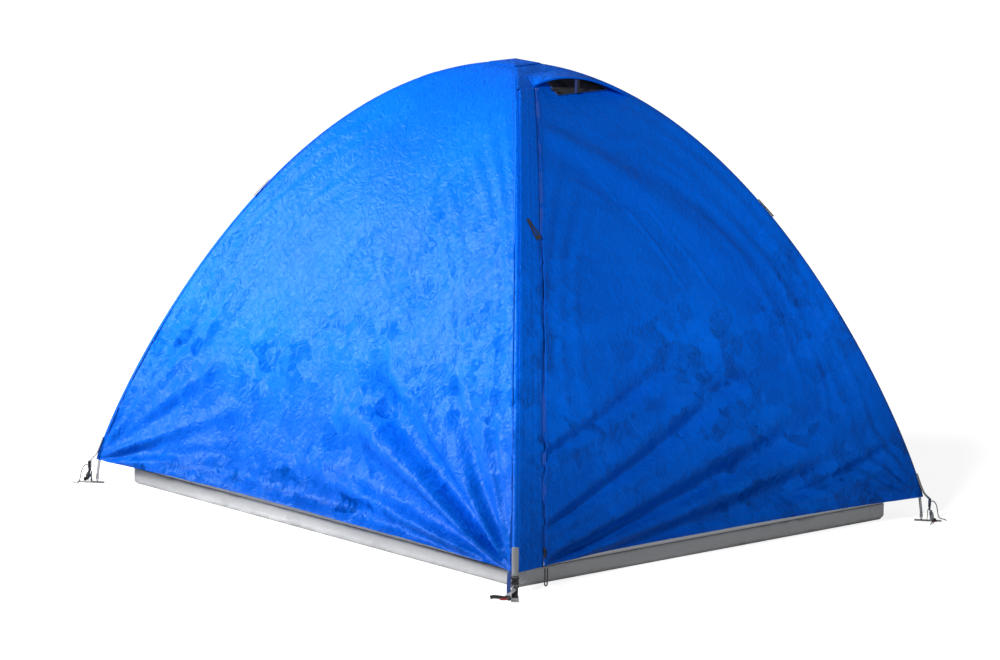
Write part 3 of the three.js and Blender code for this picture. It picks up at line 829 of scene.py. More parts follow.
def plate(name, loops, thick, material, place=Matrix.Identity(4), bevel=0.0004):
    """A flat moulded part: closed outlines, the first one outside and the others holes in it."""
    flat = bpy.data.curves.new(name, "CURVE")
    flat.dimensions = "2D"
    flat.fill_mode = "BOTH"
    flat.extrude = thick / 2 - bevel
    flat.bevel_depth = bevel
    flat.bevel_resolution = 2
    flat.offset = -bevel
    for loop in loops:
        spline = flat.splines.new("POLY")
        spline.points.add(len(loop) - 1)
        for point, (x, y) in zip(spline.points, loop):
            point.co = (x, y, 0, 1)
        spline.use_cyclic_u = True
    source = bpy.data.objects.new(name + "_outline", flat)
    mesh = bpy.data.meshes.new_from_object(source)
    bpy.data.objects.remove(source)
    bpy.data.curves.remove(flat)
    mesh.materials.clear()
    mesh.materials.append(material)
    mesh.transform(place)
    if "cloth" not in mesh.uv_layers:
        layer = mesh.uv_layers.new(name="cloth")
        turn = place.inverted()
        local = np.array([(turn @ v.co)[:2] for v in mesh.vertices], np.float32)
        index = np.array([loop.vertex_index for loop in mesh.loops])
        layer.data.foreach_set("uv", local[index].ravel())
    made = new_object(name, mesh)
    weld(made, 0.00002)
    return made


def rounded(width, height, radius, x=0.0, y=0.0, top=1.0):
    """Outline of a rounded box, whose top side is top times as wide as its foot."""
    points = []
    for sx, sy, start in ((1, 1, 0), (-1, 1, 90), (-1, -1, 180), (1, -1, 270)):
        for step in range(5):
            angle = math.radians(start + 22.5 * step)
            px = sx * (width / 2 - radius) + radius * math.cos(angle)
            py = sy * (height / 2 - radius) + radius * math.sin(angle)
            narrow = mix(1.0, top, py / height + 0.5)
            points.append((x + px * narrow, y + py))
    return points


def resample(path, spacing):
    """Even points along a smooth curve through the path."""
    path = np.asarray(path, float)
    padded = np.concatenate([[2 * path[0] - path[1]], path, [2 * path[-1] - path[-2]]])
    fine = []
    for k in range(len(path) - 1):
        a, b, c, d = padded[k:k + 4]
        t = np.linspace(0, 1, 12, endpoint=False)[:, None]
        fine.append(
            0.5 * (2 * b + (c - a) * t + (2 * a - 5 * b + 4 * c - d) * t**2
                   + (3 * b - a - 3 * c + d) * t**3)
        )
    fine = np.concatenate(fine + [path[-1:]])
    along = distances(fine)
    wanted = np.linspace(0, along[-1], max(2, int(round(along[-1] / spacing)) + 1))
    return line_at(wanted, along, fine), wanted


def ring_faces(rings, sides):
    """Sides of a tube of rings, then a cap at each end."""
    faces = []
    for a in range(0, (rings - 1) * sides, sides):
        b = a + sides
        for j in range(sides):
            k = (j + 1) % sides
            faces.append((a + j, a + k, b + k, b + j))
    faces.append(tuple(range(sides))[::-1])
    faces.append(tuple((rings - 1) * sides + j for j in range(sides)))
    return faces


def sweep(name, path, section, material, side, spacing=0.004, scale=None):
    """A section of (across, out) points carried along a path. side is the section's first axis,
    one direction or one for each point of the path."""
    points, along = resample(path, spacing)
    forward = unit(np.gradient(points, axis=0))
    side = np.broadcast_to(np.asarray(side, float), points.shape)
    out = unit(np.cross(forward, side))
    across = np.cross(out, forward)
    section = np.asarray(section, float)
    size = np.ones(len(points)) if scale is None else scale(along, along[-1])
    rings = (
        points[:, None]
        + across[:, None] * section[None, :, :1] * size[:, None, None]
        + out[:, None] * section[None, :, 1:] * size[:, None, None]
    )
    count = len(section)
    faces = ring_faces(len(points), count)
    made = mesh_object(name, rings.reshape(-1, 3), faces, material)
    widths = np.tile(section[:, 0] + section[:, 1], len(points))
    add_uv(made, np.stack([widths, np.repeat(along, count)], -1))
    for polygon in made.data.polygons[-2:]:
        polygon.use_smooth = False
    return made


def tape(name, path, side, width, thick, material, spacing=0.004, wrap=0.0):
    """Webbing with rounded selvedges, flat or wrapped backwards over a ridge."""
    w, t = width / 2, thick / 2
    section = [
        (w - t, -t), (w - 0.3 * t, -0.7 * t), (w, 0), (w - 0.3 * t, 0.7 * t), (w - t, t),
        (0, t), (t - w, t), (0.3 * t - w, 0.7 * t), (-w, 0), (0.3 * t - w, -0.7 * t),
        (t - w, -t), (0, -t),
    ]
    section = [(x, y - wrap * (math.hypot(x, 0.002) - 0.002)) for x, y in section]
    return sweep(name, path, section, material, side, spacing)


def rod(name, path, radius, material, side=(0, 0, 1), sides=16, spacing=0.01, scale=None):
    turn = np.arange(sides) * 2 * math.pi / sides
    section = np.stack([radius * np.cos(turn), radius * np.sin(turn)], -1)
    return sweep(name, path, section, material, side, spacing, scale)


def lathe(name, profile, material, place, sides=24):
    """A turned part from (radius, height) points."""
    profile = np.asarray(profile, float)
    turn = np.arange(sides) * 2 * math.pi / sides
    rings = np.stack([
        profile[:, None, 0] * np.cos(turn), profile[:, None, 0] * np.sin(turn),
        np.repeat(profile[:, None, 1], sides, 1),
    ], -1).reshape(-1, 3)
    made = mesh_object(name, rings, ring_faces(len(profile), sides), material)
    made.data.transform(place)
    for polygon in made.data.polygons:
        polygon.use_smooth = len(polygon.vertices) == 4
    modifier(made, "BEVEL", width=0.0002, segments=2, limit_method="ANGLE")
    return made


def join(name, pieces):
    """One object from several that share a body and a material."""
    made = bmesh.new()
    for piece in pieces:
        made.from_mesh(piece.data)
    first = pieces[0]
    made.to_mesh(first.data)
    made.free()
    for piece in pieces[1:]:
        bpy.data.objects.remove(piece)
    first.name = name
    return first


def bars(name, centres, along, out, size, material):
    """Many small rounded bars, such as stitches or zip teeth: one at each centre."""
    along, out = unit(along), unit(out)
    across = np.cross(along, out)
    length, width, height = (s / 2 for s in size)
    corner = np.array([
        (-1, -1, -0.2), (-1, 1, -0.2), (-0.5, -1, 1), (-0.5, 1, 1),
        (0.5, -1, 1), (0.5, 1, 1), (1, -1, -0.2), (1, 1, -0.2),
    ])
    points = (
        centres[:, None] + along[:, None] * corner[None, :, :1] * length
        + across[:, None] * corner[None, :, 1:2] * width
        + out[:, None] * corner[None, :, 2:] * height
    )
    shape = [(0, 2, 3, 1), (2, 4, 5, 3), (4, 6, 7, 5), (0, 1, 7, 6), (0, 6, 4, 2), (1, 3, 5, 7)]
    faces = [tuple(8 * k + v for v in face) for k in range(len(centres)) for face in shape]
    made = mesh_object(name, points.reshape(-1, 3), faces, material)
    add_uv(made, np.tile(corner[:, :2] * 0.001, (len(centres), 1)))
    return made


def binding(name, surface, span, marks, half, counts, level_side, *section):
    """Tape round a four-sided opening in a panel: the two edges up it, then the two across."""
    rising = level(*span, counts[0])
    edge = [surface(rising, mark * half * rising) for mark in marks]
    for u in span:
        places = np.linspace(*marks, counts[1]) * half * u
        edge.append(surface(np.full(counts[1], u), places))
    sides = [ACROSS, ACROSS, level_side, level_side]
    return join(name, [tape(name, line, side, *section) for line, side in zip(edge, sides)])


def middle_and_size(node):
    low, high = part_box(node)
    return (low + high) / 2, high - low


def facing_front(place):
    """Frame of a plate that stands upright and faces the front."""
    return axes(place, ACROSS, UPRIGHT)


def panel_grid(rows, marks, half):
    """u and x over a panel, for columns at the marks, which are shares of its half width."""
    u = np.repeat(rows[:, None], len(marks), 1)
    return u, marks[None, :] * half * u


def surface_line(name, u, x, lift):
    """Points and outward normals along a line drawn on a panel, over its folds."""
    angle, run, half = PANELS[name]
    out = panel_height(name, run, half, u, x)
    low = turned(dome(run, half, u, x, out + lift), angle)
    high = turned(dome(run, half, u, x, out + lift + 0.01), angle)
    return low, unit(high - low)


def stitched(name, panel, u, x, lift=0.0006):
    """A row of stitches along a line on a panel."""
    points, normal = surface_line(panel, u, x, lift)
    return stitch_row(name, points, normal)


def stitch_row(name, points, normals, pitch=0.0052, size=(0.9, 0.7)):
    """A row of stitches along points with an outward normal at each."""
    along = distances(points)
    wanted = np.arange(pitch / 2, along[-1] - 0.002, pitch)
    at = line_at(wanted, along, points)
    ahead = line_at(wanted + 0.001, along, points)
    bar = (pitch * 0.72, size[0] / 1000, size[1] / 1000)
    return bars(name, at, ahead - at, line_at(wanted, along, normals), bar, THREAD)


# ---- zip, storm flap, vent and crown ----
def front_point(u, x, lift):
    return dome(HALF_Y, HALF_X, np.asarray(u, float), np.asarray(x, float), lift)


def front_normal(u):
    u = np.asarray(u, float)
    slope = slope_at(u)
    length = np.hypot(slope, HALF_Y)
    return np.stack([np.zeros_like(u), slope / length, HALF_Y / length + 0 * u], -1)


def flap_x(u, share):
    """Place across the storm flap: 0 at its seam beside the rib and 1 at its free edge."""
    return mix(-rib_x(HALF_Y, HALF_X, u) + 0.005, zip_x(u) - 0.015, share)


def storm_flap():
    """Two layers of cloth over the zip, sewn down beside the rib, with small pulls at its seam."""
    rows = level(ZIP_START, 1.0, 260)
    t = np.concatenate([[0, 0.02, 0.05, 0.09], np.linspace(0.12, 0.90, 32), [0.94, 0.98, 1.0]])
    u = np.repeat(rows[:, None], len(t), 1)
    span = np.repeat(t[None, :], len(rows), 0)
    x = flap_x(u, span)
    up = climb(HALF_Y, u)
    lift = mix(0.0012, 0.0034, span**0.5)
    lift = lift + 0.0009 * smooth(0.10, 0.05, np.abs(span - 0.11))
    lift = lift - 0.0007 * smooth(0.03, 0.0, np.abs(span - 0.07))
    gather = 0.0016 * crease(x, up, 26.0, 61, 0.5) + 0.0012 * crease(x, up, 60.0, 62, 0.6)
    near_top = smooth(1.0, 1.5, up) + smooth(0.35, 0.05, up)
    lift = lift + gather * (0.35 + 0.65 * near_top) * smooth(0.0, 0.15, span)
    for place, high in ((0.28, 0.0010), (0.52, 0.0016), (0.76, 0.0012)):
        wander = place + 0.10 * noise(up * 2.3, place * 9, 64)
        fade = 0.6 + 0.5 * noise(up * 3.1, place * 5, 65)
        lift = lift + high * fade * np.exp(-(((span - wander) / 0.075) ** 2))
    lift = lift + 0.0012 * noise(up * 7.0, span * 0.6, 63) * span
    faces = grid_faces(len(rows) - 1, len(t) - 1)
    uv = np.stack([x, up], -1)
    made = cloth_sheet(
        "storm_flap_cloth", front_point(u, x, lift), uv, faces, BLUE, thickness=0.0014, offset=1
    )
    finish_piece(made, "root", "fly_fabric", "storm_flap")
    seams = []
    line = level(ZIP_START + 0.005, 0.999, 420)
    for place in (0.1, 0.16, 0.93):
        base = front_point(line, flap_x(line, place), 0.0026 + 0.0024 * place**0.5)
        seams.append(stitch_row("flap_seam", base, front_normal(line)))
    finish_piece(join("storm_flap_stitches", seams), "root", "fly_fabric")


def fly_zip():
    """Coil zip: two woven tapes and the teeth between them."""
    rows = level(ZIP_START, 0.998, 300)
    middle = zip_x(rows) - 0.0022
    tapes = [
        tape("zip_tape", front_point(rows, middle + side, 0.0003), (1.0, 0, 0), 0.0056, 0.0005,
             ZIP_TAPE, 0.006)
        for side in (-0.0042, 0.0042)
    ]
    finish_piece(join("zip_tapes", tapes), "root", "zip_coil", "fly_zip")
    points = front_point(rows, middle, 0.0010)
    along = distances(points)
    wanted = np.arange(0.004, along[-1], 0.0021)
    at = line_at(wanted, along, points)
    ahead = line_at(wanted + 0.001, along, points) - at
    u = np.interp(wanted, along, rows)
    lean = np.where(np.arange(len(at)) % 2, 0.25, -0.25)[:, None]
    side = np.array([1.0, 0, 0]) + unit(ahead) * lean
    teeth = bars("zip_teeth", at, side, front_normal(u), (0.0040, 0.0012, 0.0016), ZIP_COIL)
    finish_piece(teeth, "root", "zip_coil")


def slider_and_puller():
    middle, (width, depth, height) = middle_and_size("zip_slider")
    outline = [
        (0.0, 0.5), (0.3, 0.48), (0.48, 0.36), (0.5, 0.1), (0.4, -0.3), (0.3, -0.5),
        (-0.3, -0.5), (-0.4, -0.3), (-0.5, 0.1), (-0.48, 0.36), (-0.3, 0.48),
    ]
    outline = [(x * width, y * height) for x, y in outline]
    parts = []
    for offset in (-0.38, 0.10):
        place = facing_front(middle + Vector((0, offset * depth, 0)))
        parts.append(plate("slider_plate", [outline], depth * 0.2, ZIP_PAINT, place, 0.0002))
    wedge = [(x * 0.35, y * 0.5 + height * 0.2) for x, y in outline]
    place = facing_front(middle + Vector((0, -0.12 * depth, 0)))
    parts.append(plate("slider_wedge", [wedge], depth * 0.35, ZIP_PAINT, place, 0.0001))
    bridge = [
        middle + Vector((0, y * depth, z * height))
        for y, z in ((-0.36, 0.38), (-0.60, 0.30), (-0.64, 0.0), (-0.58, -0.2), (-0.36, -0.28))
    ]
    parts.append(rod("slider_bridge", bridge, 0.0008, ZIP_PAINT, ACROSS, 10, 0.001))
    finish_piece(join("zip_slider_body", parts), "zip_slider", "zip_metal", "zip_slider")
    middle, (width, depth, height) = middle_and_size("zip_puller")
    loops = [
        rounded(width, height, 0.0034, 0, 0, 0.75),
        rounded(0.0026, 0.0030, 0.0012, 0, height / 2 - 0.0032),
        rounded(0.0032, 0.0060, 0.0015, 0, -height / 2 + 0.0058),
    ]
    pull = plate("zip_puller_tag", loops, 0.0014, ZIP_PAINT, facing_front(middle), 0.0003)
    finish_piece(pull, "zip_puller", "zip_metal", "zip_puller")


HOOD_U = (0.13, 0.20, 0.285)
HOOD_W = (-0.60, 0.88)
HOOD_LIFT = 0.052


def hood_point(s, t, extra=0.0):
    rim = mix(HOOD_U[1], HOOD_U[2], t)
    u = np.sin(mix(math.asin(HOOD_U[0]), np.arcsin(rim), s))
    x = mix(HOOD_W[0], HOOD_W[1], t) * HALF_X * u
    arch = 1 - (2 * t - 1) ** 2
    return front_point(u, x, 0.0008 + HOOD_LIFT * arch * s**1.3 + extra)


def vent():
    """Propped hood, the dark net under it, the opening's binding, a toggle and the strut."""
    s = np.linspace(0, 1, 40)[:, None] + np.zeros((1, 90))
    t = np.linspace(0, 1, 90)[None, :] + np.zeros((40, 1))
    ends = smooth(0, 0.1, t * (1 - t))
    extra = 0.0016 * crease(t, s, 7.0, 91, 0.6) * smooth(0, 0.2, s) * ends
    extra = extra + 0.0012 * noise(t * 16, s * 2, 92) * s * ends
    uv = np.stack([t * 0.27, s * 0.16], -1)
    hood = cloth_sheet("vent_hood_cloth", hood_point(s, t, extra), uv, grid_faces(39, 89), BLUE)
    finish_piece(hood, "vent_hood", "fly_fabric", "vent_hood")
    rim = hood_point(np.ones(60), np.linspace(0, 1, 60))
    edge = tape("vent_hood_binding", rim, (0, -0.35, 0.9), 0.007, 0.0022, BLUE, 0.004)
    finish_piece(edge, "vent_hood", "fly_fabric")
    u, x = panel_grid(level(0.162, 0.258, 16), mix(-0.23, 0.78, np.linspace(0, 1, 61)), HALF_X)
    net = cloth_sheet(
        "vent_net", front_point(u, x, -0.0050 + 0.0012 * noise(x * 14, u * 60, 93)),
        np.stack([x, climb(HALF_Y, u)], -1), grid_faces(16, 60), VENT_NET, 0.0005, 0,
    )
    finish_piece(net, "root", "vent_mesh", "vent_mesh")
    made = binding(
        "vent_edge_binding", lambda u, x: front_point(u, x, 0.001), VENT_U, VENT_W, HALF_X,
        (12, 24), (0, -1, 0.3), 0.006, 0.001, BLUE_WEB,
    )
    finish_piece(made, "root", "blue_webbing")
    route = front_point([0.226, 0.232, 0.240], [-0.052, -0.044, -0.030], 0.004)
    toggle = rod("vent_toggle", route, 0.0032, PLASTIC, UPRIGHT, 14, 0.002)
    finish_piece(toggle, "root", "black_plastic")
    middle, size = middle_and_size("vent_strut")
    place = facing_front(middle)
    outline = rounded(0.0095, size.z, 0.002, -0.0052)
    sleeve = plate("vent_strut_sleeve", [outline], 0.0021, BLUE_WEB, place, 0.0005)
    finish_piece(sleeve, "vent_strut", "blue_webbing")
    outline = rounded(0.0085, size.z - 0.002, 0.002, 0.0052)
    bar = plate("vent_strut_bar", [outline], 0.0021, PLASTIC, place, 0.0005)
    finish_piece(bar, "vent_strut", "black_plastic", "vent_strut")


def crown():
    """Thin reinforcing patch over the top, where the four panels and the poles meet."""
    count, half = 48, 0.061
    places = np.linspace(-half, half, count + 1)
    x, y = np.meshgrid(places, places)
    near = np.sqrt(np.maximum(np.abs(x) / HALF_X, np.abs(y) / HALF_Y) ** 2 + 0.00006)
    points = np.stack([x, y, height_at(near) + 0.0013], -1)
    faces = grid_faces(count, count)
    made = cloth_sheet("crown_cloth", points, np.stack([x, y], -1), faces, BLUE)
    finish_piece(made, "root", "fly_fabric", "crown_patch")


# ---- poles and apex hook ----
POLE_INSET = 0.015            # from the fly's ribs in to the middle of a pole
POLE_R = 0.00425


def pole_route(deeper):
    """Middle line of one pole, along X. deeper lowers its top, so that the poles can cross."""
    t = np.sin(np.linspace(-1, 1, 91) * math.pi / 2)
    t = np.clip(t, -0.998, 0.998)
    slope = slope_at(np.minimum(np.abs(t), 0.995))
    length = np.hypot(slope, DIAGONAL)
    inset = POLE_INSET + deeper * (1 - t * t) ** 4
    radius = DIAGONAL * np.abs(t) + inset * slope / length
    height = height_at(t) - inset * DIAGONAL / length
    flat = np.stack([np.sign(t) * radius, 0 * t, height], -1)
    end = flat[-1, 0] + 0.008
    return np.concatenate([[(-end, 0, 0.024)], flat, [(end, 0, 0.024)]])


def poles():
    for letter, angle, deeper in (("a", CORNER_ANGLE, 0.0), ("b", -CORNER_ANGLE, 0.0092)):
        route, along = resample(turned(pole_route(deeper), angle), 0.012)
        total = along[-1]
        side = (-math.sin(angle), math.cos(angle), 0)
        for k in range(5):
            first, last = total * k / 5 + 0.0002, total * (k + 1) / 5 - 0.0002
            wanted = np.linspace(first, last, 50)
            points = line_at(wanted, along, route)

            def swell(place, length, k=k):
                band = np.zeros_like(place)
                if k > 0:
                    band = band + (place < 0.04)
                if k < 4:
                    band = band + (place > length - 0.04)
                return 1 + 0.09 * band

            made = rod(
                f"pole_{letter}_tube_{k + 1}", points, POLE_R, ALLOY, side, 20, 0.0095, swell
            )
            finish_piece(made, "root", "pole_alloy", f"pole_{letter}_section_{k + 1}")
    middle = middle_and_size("apex_hook")[0]
    loops = [rounded(0.045, 0.045, 0.008), rounded(0.012, 0.012, 0.004)]
    for sx in (-1, 1):
        loops += [rounded(0.010, 0.004, 0.0018, sx * 0.013, sy * 0.017) for sy in (-1, 1)]
    hook = plate("apex_hook_plate", loops, 0.0042, PLASTIC, axes(middle, ACROSS, (0, 1, 0)), 0.0008)
    finish_piece(hook, "root", "black_plastic", "apex_hook")


# ---- inner tent ----
INNER_X, INNER_Y, INNER_RISE, INNER_FOOT = 0.790, 0.920, 1.296, 0.053
INNER_PANELS = four_panels(INNER_X, INNER_Y)
DOOR_SPAN = (0.4, 0.93)       # the inner door, down the panel
DOOR_HALF = 0.45              # and its share of the panel's half width
DOOR_ROWS = (12, 42)          # the panel's cells that the door takes the place of
DOOR_COLUMNS = (12, 36)
FRONT_SEED = 503


def inner_point(name, u, x, seed, wave=1.0):
    angle, run, half = INNER_PANELS[name]
    safe = np.minimum(u, 0.9999)
    slope = -2 * INNER_RISE * CURVE * safe * (1 - safe * safe) ** (CURVE - 1)
    length = np.hypot(slope, run)
    inside = smooth(0, 0.08, half * u - np.abs(x))
    slack = 0.004 * noise(x * 4.2, u * 6.0, seed) * inside * wave * smooth(0.0, 0.1, 1 - u)
    across = 1 - np.clip(np.abs(x) / (half * u), 0, 1) ** 2
    out = slack - 0.006 * across * smooth(0.0, 0.4, 1 - u)
    height = INNER_FOOT + INNER_RISE * (1 - safe * safe) ** CURVE + out * run / length
    return turned(np.stack([x, -(run * u - out * slope / length), height], -1), angle)


def front_cells():
    """Rows and columns of the inner front panel, with lines on the edges of its door."""
    first, last = DOOR_ROWS
    rows = np.concatenate([
        level(0.03, DOOR_SPAN[0], first), level(*DOOR_SPAN, last - first)[1:],
        level(DOOR_SPAN[1], 0.9999, 8)[1:],
    ])
    first, last = DOOR_COLUMNS
    marks = np.concatenate([
        np.linspace(-1, -DOOR_HALF, first + 1),
        np.linspace(-DOOR_HALF, DOOR_HALF, last - first + 1)[1:],
        np.linspace(DOOR_HALF, 1, first + 1)[1:],
    ])
    return rows, marks


def off_door(i, j):
    return not (DOOR_ROWS[0] <= i < DOOR_ROWS[1] and DOOR_COLUMNS[0] <= j < DOOR_COLUMNS[1])


def inner_tent():
    """Pale mesh tent in one sheet, its door, and the binding round the doorway."""
    points, uvs, faces = [], [], []
    for seed, name in enumerate(INNER_PANELS, 500):
        rows, marks, kept = level(0.03, 0.9999, 48), np.linspace(-1, 1, 49), None
        if name == "front":
            rows, marks = front_cells()
            kept = off_door
        u, x = panel_grid(rows, marks, INNER_PANELS[name][2])
        first = sum(len(panel) for panel in points)
        faces += grid_faces(len(rows) - 1, len(marks) - 1, first, kept)
        points.append(inner_point(name, u, x, seed).reshape(-1, 3))
        uvs.append(np.stack([x, u * 1.8], -1).reshape(-1, 2))
    shell = cloth_sheet(
        "inner_shell", np.concatenate(points), np.concatenate(uvs), faces, INNER, 0.0008,
        close=0.0002,
    )
    finish_piece(
        shell, "root", "inner_mesh",
        "inner_panel_left", "inner_panel_back", "inner_panel_right", "inner_panel_front",
    )
    rows = level(DOOR_SPAN[0] + 0.003, DOOR_SPAN[1] - 0.003, 36)
    u, x = panel_grid(rows, np.linspace(-DOOR_HALF + 0.004, DOOR_HALF - 0.004, 33), INNER_X)
    door = cloth_sheet(
        "inner_door_net", inner_point("front", u, x, FRONT_SEED), np.stack([x, u * 1.8], -1),
        grid_faces(36, 32), INNER, 0.0008,
    )
    finish_piece(door, "inner_door", "inner_mesh", "inner_door")
    made = binding(
        "inner_door_binding", lambda u, x: inner_point("front", u, x, FRONT_SEED), DOOR_SPAN,
        (-DOOR_HALF, DOOR_HALF), INNER_X, (40, 30), (0, 0.3, 1), 0.010, 0.0016, GREY_WEB, 0.01,
    )
    finish_piece(made, "root", "grey_webbing")


def tray():
    """Coated floor whose edge turns up all round, with soft corners."""
    half_x, half_y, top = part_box("inner_floor")[1]
    count, edge, skin = 120, 0.048, 0.0012
    s = np.linspace(-1, 1, count + 1)
    bent = np.sign(s) * np.abs(s) ** 0.85
    x, y = np.meshgrid(bent * (half_x + edge), bent * (half_y + edge))
    rise_x = np.clip(np.abs(x) - half_x + 0.006, 0, None)
    rise_y = np.clip(np.abs(y) - half_y + 0.006, 0, None)
    z = np.minimum(np.maximum(rise_x, rise_y), top - 0.001)
    flat_x = np.clip(x, -half_x + skin, half_x - skin)
    flat_y = np.clip(y, -half_y + skin, half_y - skin)
    wave = 0.0012 * crease(x, y, 6.0, 81) * smooth(0.0, 0.05, half_x - np.abs(flat_x))
    wave = np.clip(wave * smooth(0.0, 0.05, half_y - np.abs(flat_y)), 0, 0.002)
    points = np.stack([flat_x, flat_y, z + wave + 0.0006], -1)
    faces = grid_faces(count, count)
    made = cloth_sheet(
        "tray_cloth", points, np.stack([x, y], -1), faces, TRAY, 0.0006, 0, close=0.0001
    )
    finish_piece(made, "root", "floor_fabric", "inner_floor")


# ---- corner anchors ----
CORNERS = {
    "front": math.pi + CORNER_ANGLE, "right": -CORNER_ANGLE,
    "back": CORNER_ANGLE, "left": math.pi - CORNER_ANGLE,
}
BUCKLE_R = 1.356
TIP_REACH = 1.3306


def outward(angle):
    return np.array((math.cos(angle), math.sin(angle), 0))


def sideways(angle):
    return np.array((-math.sin(angle), math.cos(angle), 0))


def corner_path(angle, points):
    return turned(np.asarray(points, float), angle)


def side_release_buckle(name, angle):
    """Female half with side windows and a web bar, and a male half with two prongs."""
    top, height = 0.071, 0.023
    middle, low = top - height / 2, 0.0477 - 0.012

    def face(z, out=0.0):
        place = outward(angle) * (BUCKLE_R + out) + np.array((0, 0, z))
        return axes(place, sideways(angle), UPRIGHT)

    half_shell = [
        (0.0100, 0.0115), (0.0118, 0.0095), (0.0122, 0.0040), (0.0104, 0.0020),
        (0.0104, -0.0052), (0.0122, -0.0070), (0.0124, -0.0112),
    ]
    shell = half_shell + [(-x, y) for x, y in half_shell[::-1]]
    slot = rounded(0.0190, 0.0026, 0.0011, 0, 0.0084)
    window = rounded(0.0060, 0.0070, 0.0016, 0, -0.0020)
    parts = [
        plate("buckle_part", loops, thick, PLASTIC, face(middle, out))
        for loops, thick, out in (
            ([shell, slot, window], 0.0016, 0.0034), ([shell, slot], 0.0016, -0.0034),
            ([rounded(0.0215, 0.0030, 0.0010, 0, 0.0048)], 0.0052, 0.0),
            ([rounded(0.0212, 0.0022, 0.0009, 0, 0.0104)], 0.0050, 0.0),
        )
    ]
    made = join(f"buckle_socket_{name}", parts)
    finish_piece(made, "root", "black_plastic", f"buckle_female_{name}")
    base = [rounded(0.0236, 0.0118, 0.0020, 0, 0.006, 0.94)]
    base += [rounded(0.0186, 0.0022, 0.0010, 0, y) for y in (0.0030, 0.0078)]
    prong = [
        (0.0052, 0.0112), (0.0096, 0.0112), (0.0100, 0.0200), (0.0112, 0.0222),
        (0.0104, 0.0246), (0.0074, 0.0268), (0.0066, 0.0262), (0.0074, 0.0220),
    ]
    mirrored = [(-x, y) for x, y in prong[::-1]]
    guide = rounded(0.0026, 0.0150, 0.0010, 0, 0.0186)
    parts = [plate("buckle_base", base, 0.0062, PLASTIC, face(low), 0.0007)]
    for line in (mirrored, prong, guide):
        parts.append(plate("buckle_prong", [line], 0.0034, PLASTIC, face(low)))
    made = join(f"buckle_prongs_{name}", parts)
    finish_piece(made, f"buckle_{name}", "black_plastic", f"buckle_male_{name}")


WEB_SLOTS = {
    GREY_WEB: "grey_webbing", BLACK_WEB: "black_webbing", BLUE_WEB: "blue_webbing",
    RED_WEB: "red_accent",
}


def web(name, angle, route, side, size, material, *nodes, spacing=0.004, wrap=0.0):
    """Webbing at a corner. Its route is out from the tent's middle, sideways and up."""
    path = corner_path(angle, route)
    made = tape(name, path, side, *size, material, spacing, wrap)
    finish_piece(made, "root", WEB_SLOTS[material], *nodes)


def corner_webbing(name, angle):
    """Grey web from the hem to the buckle, and the ground web with its grommet below it."""
    tangent = sideways(angle)
    rib = [
        DIAGONAL * math.sqrt(1 - ((z - HEM_Z) / RISE) ** (1 / CURVE)) for z in (0.084, 0.112, 0.152)
    ]
    route = [
        (rib[2] - 0.0012, 0, 0.151), (rib[1] - 0.0006, 0, 0.112), (rib[0] + 0.0020, 0, 0.090),
        (BUCKLE_R + 0.0012, 0, 0.0735),
    ]
    web(f"corner_web_{name}", angle, route, tangent, (0.0210, 0.0015), GREY_WEB,
        f"corner_strap_{name}", wrap=0.45)
    route = [
        (TIP_REACH - 0.0215, 0, 0.0011), (TIP_REACH - 0.01, 0, 0.0010),
        (TIP_REACH + 0.01, 0, 0.0009), (1.372, 0, 0.0009), (1.3955, 0, 0.0014),
    ]
    web(f"ground_web_{name}", angle, route, tangent, (0.0238, 0.0014), GREY_WEB,
        f"ground_tab_{name}")
    rise = BUCKLE_R - 0.0055
    route = [(rise, 0, 0.0360), (rise, 0, 0.024), (rise, 0, 0.0115), (rise - 0.002, 0, 0.0030)]
    web(f"riser_web_{name}", angle, route, tangent, (0.0196, 0.0014), BLACK_WEB)
    place = Matrix.Translation(Vector(outward(angle)) * TIP_REACH)
    ring = [
        (0.0034, 0.0004), (0.0062, 0.0006), (0.0068, 0.0014), (0.0062, 0.0022), (0.0044, 0.0025),
        (0.0034, 0.0020),
    ]
    grommet = lathe(f"grommet_{name}", ring + ring[:1], ALLOY, place)
    finish_piece(grommet, "root", "pole_alloy")
    tip = [
        (0.0, 0.0004), (0.0015, 0.0004), (0.0022, 0.0012), (0.0024, 0.0020), (0.0024, 0.0085),
        (0.0034, 0.0092), (0.0049, 0.0100), (0.0050, 0.0108), (0.0047, 0.0114), (0.0050, 0.0120),
        (0.0050, 0.0218), (0.0044, 0.0224), (0.0, 0.0224),
    ]
    made = lathe(f"pole_foot_{name}", tip, ALLOY, place)
    finish_piece(made, "root", "pole_alloy", f"pole_tip_{name}")


